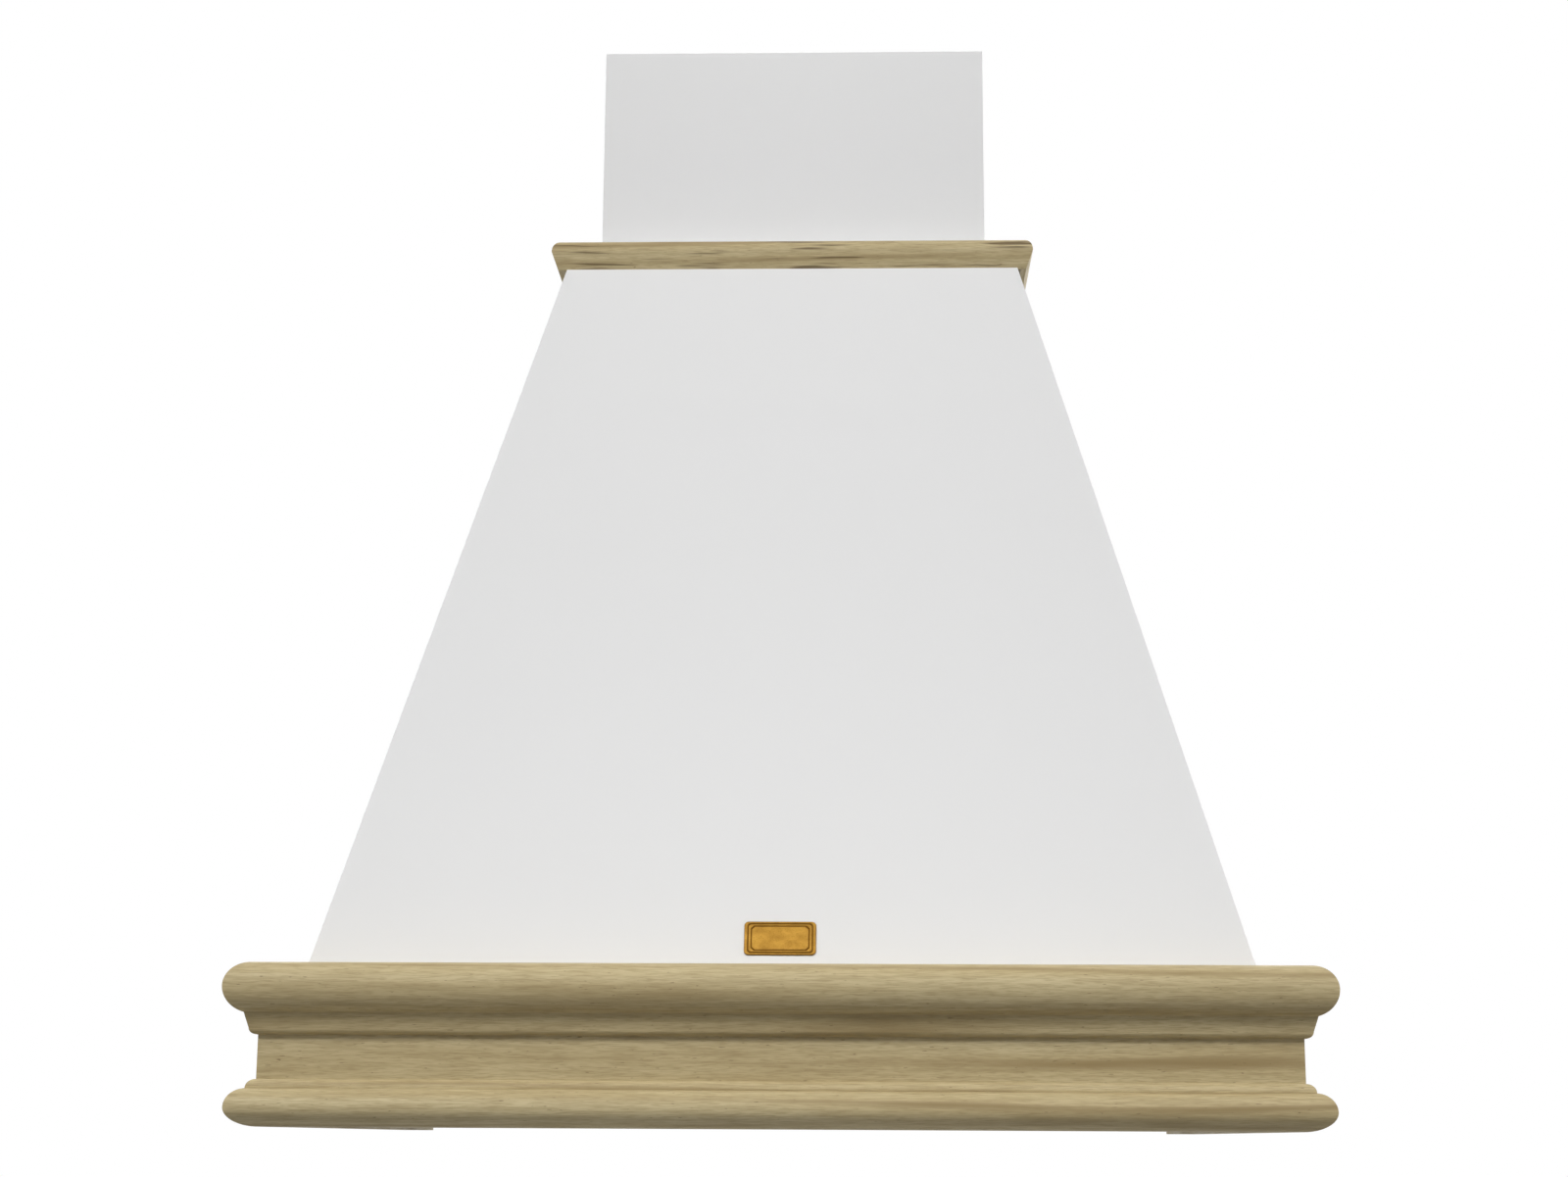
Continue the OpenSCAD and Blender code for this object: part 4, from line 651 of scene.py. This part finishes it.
def expandedMeshTree():
    # zigzag strands side by side touch at every second bend, then the sheet is pleated
    tree, given = newTree("expandedMesh", {
        "Width": "Float", "Length": "Float", "Columns": "Int", "Rows": "Int", "Strand": "Float",
        "Slopes": "Int", "Rise": "Float", "Phase": "Float", "Pocket Width": "Float",
        "Pocket Length": "Float", "Place": "Vector", "Finish": "Material"})
    grid = addNode(tree, "GeometryNodeMeshGrid", {
        "Size X": given["Width"], "Size Y": given["Length"],
        "Vertices X": given["Columns"], "Vertices Y": given["Rows"]}).outputs["Mesh"]
    ends = addNode(tree, "GeometryNodeInputMeshEdgeVertices").outputs
    apart = addNode(tree, "ShaderNodeVectorMath", {0: ends["Position 1"], 1: ends["Position 2"]},
                    operation="SUBTRACT").outputs[0]
    where = addNode(tree, "GeometryNodeInputPosition").outputs[0]
    parts = addNode(tree, "ShaderNodeSeparateXYZ", {0: where}).outputs
    known = workOut(tree, {
        **given, "x": parts["X"], "y": parts["Y"],
        "edgeX": addNode(tree, "ShaderNodeSeparateXYZ", {0: apart}).outputs["X"],
    }, (
        # the edges that cross the strands go, and so does what is in the latch's pocket
        ("edgeWide", "ABSOLUTE", "edgeX"),
        ("crossing", "LESS_THAN", "edgeWide", 0.0001),
        ("fromLeft", "MULTIPLY_ADD", "Width", 0.5, "x"),
        ("fromFront", "MULTIPLY_ADD", "Length", 0.5, "y"),
        ("fromMiddle", "ABSOLUTE", "x"),
        ("pocketHalf", "MULTIPLY", "Pocket Width", 0.5),
        ("inWidth", "LESS_THAN", "fromMiddle", "pocketHalf"),
        ("inLength", "LESS_THAN", "fromFront", "Pocket Length"),
        ("pocket", "MULTIPLY", "inWidth", "inLength"),
        # the zigzag: every second point of a strand bends to the other side
        ("columnGaps", "SUBTRACT", "Columns", 1.0),
        ("columnStep", "DIVIDE", "Width", "columnGaps"),
        ("columnAt", "DIVIDE", "fromLeft", "columnStep"),
        ("column", "ROUND", "columnAt"),
        ("rowGaps", "SUBTRACT", "Rows", 1.0),
        ("rowStep", "DIVIDE", "Length", "rowGaps"),
        ("rowAt", "DIVIDE", "fromFront", "rowStep"),
        ("row", "ROUND", "rowAt"),
        ("both", "ADD", "column", "row"),
        ("odd", "PINGPONG", "both", 1.0),
        ("halfRow", "MULTIPLY", "rowStep", 0.5),
        ("short", "MULTIPLY", "Strand", filterMesh["bond"]),
        ("bend", "SUBTRACT", "halfRow", "short"),
        ("toSide", "MULTIPLY_ADD", "odd", 2.0, -1.0),
        ("sideways", "MULTIPLY", "toSide", "bend"),
        # the pleats
        ("slope", "DIVIDE", "Width", "Slopes"),
        ("slopeAt", "DIVIDE", "fromLeft", "slope"),
        ("phased", "ADD", "slopeAt", "Phase"),
        ("pleat", "PINGPONG", "phased", 1.0),
        ("up", "MULTIPLY", "pleat", "Rise"),
    ))
    strands = addNode(tree, "GeometryNodeDeleteGeometry", {
        "Geometry": grid, "Selection": known["crossing"]}, domain="EDGE", mode="EDGE_FACE").outputs[0]
    cleared = addNode(tree, "GeometryNodeDeleteGeometry", {
        "Geometry": strands, "Selection": known["pocket"]}, domain="POINT", mode="ALL").outputs[0]
    offset = addNode(tree, "ShaderNodeCombineXYZ", {"Y": known["sideways"], "Z": known["up"]}).outputs[0]
    bent = addNode(tree, "GeometryNodeSetPosition", {"Geometry": cleared, "Offset": offset}).outputs[0]
    lines = addNode(tree, "GeometryNodeMeshToCurve", {"Mesh": bent}).outputs["Curve"]
    wire = addNode(tree, "GeometryNodeCurvePrimitiveCircle", {"Radius": given["Strand"], "Resolution": 4})
    solid = addNode(tree, "GeometryNodeCurveToMesh", {
        "Curve": lines, "Profile Curve": wire.outputs["Curve"], "Fill Caps": True}).outputs["Mesh"]
    placed = addNode(tree, "GeometryNodeTransform", {"Geometry": solid, "Translation": given["Place"]})
    return endTree(tree, placed.outputs[0], given["Finish"])


def makeFilterMeshes():
    tree = expandedMeshTree()
    radius = filterMesh["strandRadius"] * mm
    for side in ("left", "right"):
        node = "filter_mesh_" + side
        low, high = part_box(node)
        middle = (low + high) / 2
        layers = []
        for phase in filterMesh["layers"]:
            layers.append(throughTree("layer", bpy.data.meshes.new("empty"), tree, {
                "Width": high.x - low.x - 2 * radius,
                "Length": high.y - low.y - filterMesh["endGaps"] * mm,
                "Columns": filterMesh["columns"], "Rows": filterMesh["rows"],
                "Strand": radius, "Slopes": filterMesh["slopes"],
                "Rise": high.z - low.z - 2 * radius, "Phase": phase,
                "Pocket Width": filterMesh["pocketWidth"] * mm,
                "Pocket Length": filterMesh["pocketLength"] * mm,
                "Place": (middle.x, middle.y, low.z + radius),
                "Finish": finishes["filter_mesh"]}))
        piece = joinPieces("filterMesh" + side.capitalize(), layers, finishes["filter_mesh"])
        settle(piece, bodyOf[node], "filter_mesh", node)
        print("expanded mesh:", len(piece.data.polygons), "faces")


makeFilterMeshes()


# Turned parts: lamp lenses pressed in rings, and push buttons with a dished cap

# rippleFrom and rippleTo are where a ripple starts and ends, as shares of a ring's width
lens = {
    "radius": 24, "thickness": 3, "edge": 0.5, "rim": 2.5, "boss": 3.2, "rings": 9,
    "ripple": 0.35, "rippleFrom": 0.35, "rippleTo": 0.7, "steps": 72,
}
# dishBow is a point between the dish's middle and its edge, as shares of radius and depth
button = {
    "cap": 7, "flange": 8, "flangeThick": 1.4, "stem": 3, "stemHeight": 12.2, "stemEdge": 0.4,
    "round": 0.9, "dish": 0.55, "dishRadius": 5.2, "dishBow": (0.5, 0.72), "steps": 40,
}


def turnedPiece(name, outline, centre, steps, axis="Z", ring=False):
    # turns an outline of radius and height about an axis through the centre;
    # the outline of a ring closes on itself
    shape = bmesh.new()
    rings = []
    for radius, height in outline:
        level = []
        for i in range(steps if radius else 1):
            a = 2 * math.pi * i / steps
            u, v = radius * math.cos(a), radius * math.sin(a)
            point = Vector((u, v, height) if axis == "Z" else (height, u, v))
            level.append(shape.verts.new(centre + point * mm))
        rings.append(level)
    for first, second in zip(rings, rings[1:] + (rings[:1] if ring else [])):
        for i in range(steps):
            j = (i + 1) % steps
            around = ((first, i), (first, j), (second, j), (second, i))
            corners = list(dict.fromkeys(level[k % len(level)] for level, k in around))
            if len(corners) > 2:
                shape.faces.new(corners)
    bmesh.ops.recalc_face_normals(shape, faces=shape.faces)
    return addShape(name, shape, sharpFrom=38)


def lensOutline():
    radius, thick, edge = lens["radius"], lens["thickness"], lens["edge"]
    outer = radius - lens["rim"]
    pitch = (outer - lens["boss"]) / lens["rings"]
    outline = [(0, 0)]
    for i in range(lens["rings"]):
        start = lens["boss"] + i * pitch
        outline += [(start, 0), (start + pitch * lens["rippleFrom"], lens["ripple"]),
                    (start + pitch * lens["rippleTo"], lens["ripple"])]
    outline += [(outer, 0), (radius - edge, 0), (radius, edge), (radius, thick - edge),
                (radius - edge, thick), (0, thick)]
    return outline


def buttonOutline(total):
    # total is the button's whole height in mm, from its cap to the end of its stem
    cap, soft, stem, edge = button["cap"], button["round"], button["stem"], button["stemEdge"]
    flangeFoot = total - button["stemHeight"]
    flangeTop = flangeFoot + button["flangeThick"]
    bowRadius, bowDepth = button["dishBow"]
    outline = [(0, button["dish"]), (button["dishRadius"] * bowRadius, button["dish"] * bowDepth),
               (button["dishRadius"], 0)]
    outline += arc((cap - soft, soft), soft, 270, 360, 5)
    outline += [(cap, flangeFoot), (button["flange"], flangeFoot), (button["flange"], flangeTop),
                (stem, flangeTop), (stem, total - edge), (stem - edge, total), (0, total)]
    return outline


def makeTurnedParts():
    for side in ("left", "right"):
        node = "lamp_lens_" + side
        low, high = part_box(node)
        centre = footMiddle(low, high)
        piece = turnedPiece("lampLens" + side.capitalize(), lensOutline(), centre, lens["steps"])
        piece.data.materials.append(finishes["lamp_glass"])
        settle(piece, bodyOf[node], "lamp_glass", node)
    names = {
        "button_off": "buttonOff", "button_speed_1": "buttonSpeedOne", "button_speed_2": "buttonSpeedTwo",
        "button_speed_3": "buttonSpeedThree", "button_light": "buttonLight",
    }
    for node, name in names.items():
        low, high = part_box(node)
        outline = buttonOutline((high.z - low.z) / mm)
        piece = turnedPiece(name, outline, footMiddle(low, high), button["steps"])
        piece.data.materials.append(finishes["button_white"])
        settle(piece, bodyOf[node], "button_white", node)
    print("lenses and buttons turned: 7")


makeTurnedParts()


# Rotor: forward-curved blades between two end rings, on a centre disc with its hub

rotor = {
    "blades": 36, "width": 120, "centre": (0, -201, 30), "bladeThick": 1.0, "bladeSteps": 6, "steps": 72,
    "bladeInner": (64.6, 0.0), "bladeBend": (70.2, -0.4), "bladeOuter": (73.6, 4.6),
    "endRing": ((65, -1.5), (75, -1.5), (75, 1.5), (65, 1.5)), "endRingAt": 58.5,
    "disc": ((4.02, -16), (9.4, -16), (10, -15.4), (10, -2.2), (11.2, -1), (73, -1), (73, 1), (4.02, 1)),
}


def bladesTree():
    # pulls a blade's section along the shaft and repeats it round the shaft
    tree, given = newTree("rotorBlades", {
        "Geometry": "Geometry", "Length": "Float", "Count": "Int", "Place": "Vector", "Finish": "Material"})
    blade = pulledSolid(tree, given["Geometry"], given["Length"])
    points = addNode(tree, "GeometryNodePoints", {"Count": given["Count"]}).outputs[0]
    index = addNode(tree, "GeometryNodeInputIndex").outputs[0]
    known = workOut(tree, {**given, "index": index}, (
        ("share", "DIVIDE", "index", "Count"),
        ("angle", "MULTIPLY", "share", 2 * math.pi),
    ))
    turn = addNode(tree, "ShaderNodeCombineXYZ", {"X": known["angle"]}).outputs[0]
    around = addNode(tree, "GeometryNodeInstanceOnPoints", {
        "Points": points, "Instance": blade, "Rotation": turn}).outputs[0]
    placed = addNode(tree, "GeometryNodeTransform", {"Geometry": around, "Translation": given["Place"]})
    return endTree(tree, placed.outputs[0], given["Finish"])


def makeRotor():
    inner, bend, outer = (Vector(rotor[key]) for key in ("bladeInner", "bladeBend", "bladeOuter"))
    middle, half = [], rotor["bladeThick"] / 2
    for i in range(rotor["bladeSteps"] + 1):
        t = i / rotor["bladeSteps"]
        point = inner * (1 - t) ** 2 + bend * 2 * t * (1 - t) + outer * t * t
        along = ((bend - inner) * (1 - t) + (outer - bend) * t).normalized()
        middle.append((point, Vector((-along.y, along.x)) * half))
    outline = [p + n for p, n in middle] + [p - n for p, n in reversed(middle)]
    mesh = bpy.data.meshes.new("bladeSection")
    start = -rotor["width"] / 2 * mm
    mesh.from_pydata([(start, p.x * mm, p.y * mm) for p in outline], [], [tuple(range(len(outline)))])
    place = Vector(rotor["centre"]) * mm
    pieces = [throughTree("blades", mesh, bladesTree(), {
        "Length": rotor["width"] * mm, "Count": rotor["blades"], "Place": place,
        "Finish": finishes["rotor_plastic"]})]
    for side in (-1, 1):
        at = place + Vector((side * rotor["endRingAt"] * mm, 0, 0))
        pieces.append(turnedPiece("endRing", rotor["endRing"], at, rotor["steps"], axis="X", ring=True))
    pieces.append(turnedPiece("disc", rotor["disc"], place, rotor["steps"], axis="X", ring=True))
    whole = joinPieces("bladedRotor", pieces, finishes["rotor_plastic"])
    settle(whole, bodyOf["rotor"], "rotor_plastic", "rotor")
    print("rotor made with", rotor["blades"], "blades")


makeRotor()


# Marks moulded on the switch plate: a ring for off, one to three dots for the speeds and a small sun

# sunSize and raySize are shares of a dot's size
marks = {
    "fromButtons": 12.4, "height": 0.12, "dot": 0.75, "spacing": 2.6, "ring": (1.1, 1.7), "steps": 40,
    "rays": 8, "rayAt": 2.1, "sunSize": 1.2, "raySize": 0.38,
    "dots": {"button_speed_1": 1, "button_speed_2": 2, "button_speed_3": 3, "button_light": 0},
}


def dotsTree():
    # sets a flat disc on every point, scaled by the point's size
    tree, given = newTree("raisedDots", {
        "Geometry": "Geometry", "Radius": "Float", "Height": "Float", "Finish": "Material"})
    points = addNode(tree, "GeometryNodeMeshToPoints", {"Mesh": given["Geometry"]}).outputs[0]
    dot = addNode(tree, "GeometryNodeMeshCylinder", {
        "Radius": given["Radius"], "Depth": given["Height"], "Vertices": 16}).outputs["Mesh"]
    size = addNode(tree, "GeometryNodeInputNamedAttribute", {"Name": "size"}, data_type="FLOAT").outputs[0]
    many = addNode(tree, "GeometryNodeInstanceOnPoints", {
        "Points": points, "Instance": dot, "Scale": size}).outputs[0]
    return endTree(tree, many, given["Finish"])


def makeMarks():
    low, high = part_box("switch_plate")
    aside = -marks["fromButtons"] * mm
    dots = []
    for node, count in marks["dots"].items():
        first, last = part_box(node)
        middle = footMiddle(first, last, aside)
        middle.z = low.z - marks["height"] / 2 * mm
        for i in range(count):
            dots.append((middle + Vector(((i - (count - 1) / 2) * marks["spacing"] * mm, 0, 0)), 1.0))
        if not count:
            dots.append((middle, marks["sunSize"]))
            for i in range(marks["rays"]):
                a = 2 * math.pi * i / marks["rays"]
                ray = Vector((math.cos(a), math.sin(a), 0)) * marks["rayAt"] * mm
                dots.append((middle + ray, marks["raySize"]))
    mesh = bpy.data.meshes.new("markPoints")
    mesh.from_pydata([place for place, size in dots], [], [])
    sizes = mesh.attributes.new("size", "FLOAT", "POINT")
    for i, (place, size) in enumerate(dots):
        sizes.data[i].value = size
    pieces = [throughTree("dots", mesh, dotsTree(), {
        "Radius": marks["dot"] * mm, "Height": marks["height"] * mm, "Finish": finishes["black_plastic"]})]
    first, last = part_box("button_off")
    middle = footMiddle(first, last, aside)
    middle.z = low.z
    inner, outer = marks["ring"]
    outline = ((inner, -marks["height"]), (outer, -marks["height"]), (outer, 0), (inner, 0))
    pieces.append(turnedPiece("ring", outline, middle, marks["steps"], ring=True))
    whole = joinPieces("switchMarks", pieces, finishes["black_plastic"])
    settle(whole, bodyOf["switch_plate"], "black_plastic")


makeMarks()
print("switch marks made")


# Nameplate: a bare brass plate with two incised borders

# the canopy's front leans back from its foot to its top, and the plate lies on it
plate = {
    "width": 40, "height": 20, "thickness": 1, "cornerSteps": 6,
    "canopyFootDepth": 442, "canopyTopDepth": 275.3, "canopyHeight": 464,
    # from the back edge to the field: inset at the sides, inset above, height, corner, patina
    "profile": (
        (0.0, 0.0, 0.0, 2.4, 0.3), (0.0, 0.0, 0.7, 2.4, 0.2), (0.3, 0.25, 0.95, 2.3, 0.0),
        (1.6, 0.95, 0.95, 2.0, 0.0), (1.8, 1.15, 0.6, 1.9, 1.0), (2.3, 1.55, 0.6, 1.8, 1.0),
        (2.5, 1.75, 0.9, 1.8, 0.0), (3.5, 2.35, 0.9, 1.7, 0.0), (3.7, 2.55, 0.6, 1.7, 1.0),
        (4.2, 2.95, 0.6, 1.7, 1.0), (4.4, 3.15, 0.85, 1.7, 0.0), (5.2, 3.6, 0.85, 1.7, 0.0),
    ),
    "chamferedFrom": 7,
}


def plateRing(inset, corner, chamfered):
    # the outline at these insets from the sides and from above, its corners round or cut straight
    points, steps = [], plate["cornerSteps"]
    middleX = plate["width"] / 2 - inset[0] - corner
    middleY = plate["height"] / 2 - inset[1] - corner
    for x, y, first in ((1, 1, 0), (-1, 1, 90), (-1, -1, 180), (1, -1, 270)):
        bow = arc((x * middleX, y * middleY), corner, first, first + 90, steps)
        if chamfered:
            (startX, startY), (endX, endY) = bow[0], bow[-1]
            bow = [(startX + (endX - startX) * i / steps, startY + (endY - startY) * i / steps)
                   for i in range(steps + 1)]
        points += bow
    return points


def makePlate():
    low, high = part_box("nameplate")
    middle = (low + high) / 2
    slope = math.atan((plate["canopyFootDepth"] - plate["canopyTopDepth"]) / plate["canopyHeight"])
    # the plate's back lies on the canopy's slope, so its place follows from the node's box
    turn = Matrix.Rotation(math.pi / 2 - slope, 4, "X")
    across, up, out = turn @ Vector((1, 0, 0)), turn @ Vector((0, 1, 0)), turn @ Vector((0, 0, 1))
    origin = middle - out * plate["thickness"] / 2 * mm
    shape = bmesh.new()
    patina = shape.verts.layers.float.new("patina")
    rings = []
    for step, (insetX, insetY, height, corner, dark) in enumerate(plate["profile"]):
        ring = []
        for x, y in plateRing((insetX, insetY), corner, step >= plate["chamferedFrom"]):
            vertex = shape.verts.new(origin + (across * x + up * y + out * height) * mm)
            vertex[patina] = dark
            ring.append(vertex)
        rings.append(ring)
    for inner, outer in zip(rings[1:], rings):
        for i in range(len(inner)):
            j = (i + 1) % len(inner)
            shape.faces.new((outer[i], outer[j], inner[j], inner[i]))
    shape.faces.new(rings[-1])
    shape.faces.new(list(reversed(rings[0])))
    piece = addShape("brassPlate", shape, sharpFrom=25)
    piece.data.materials.append(finishes["polished_brass"])
    settle(piece, "hood", "polished_brass", "nameplate")


makePlate()
print("nameplate made")
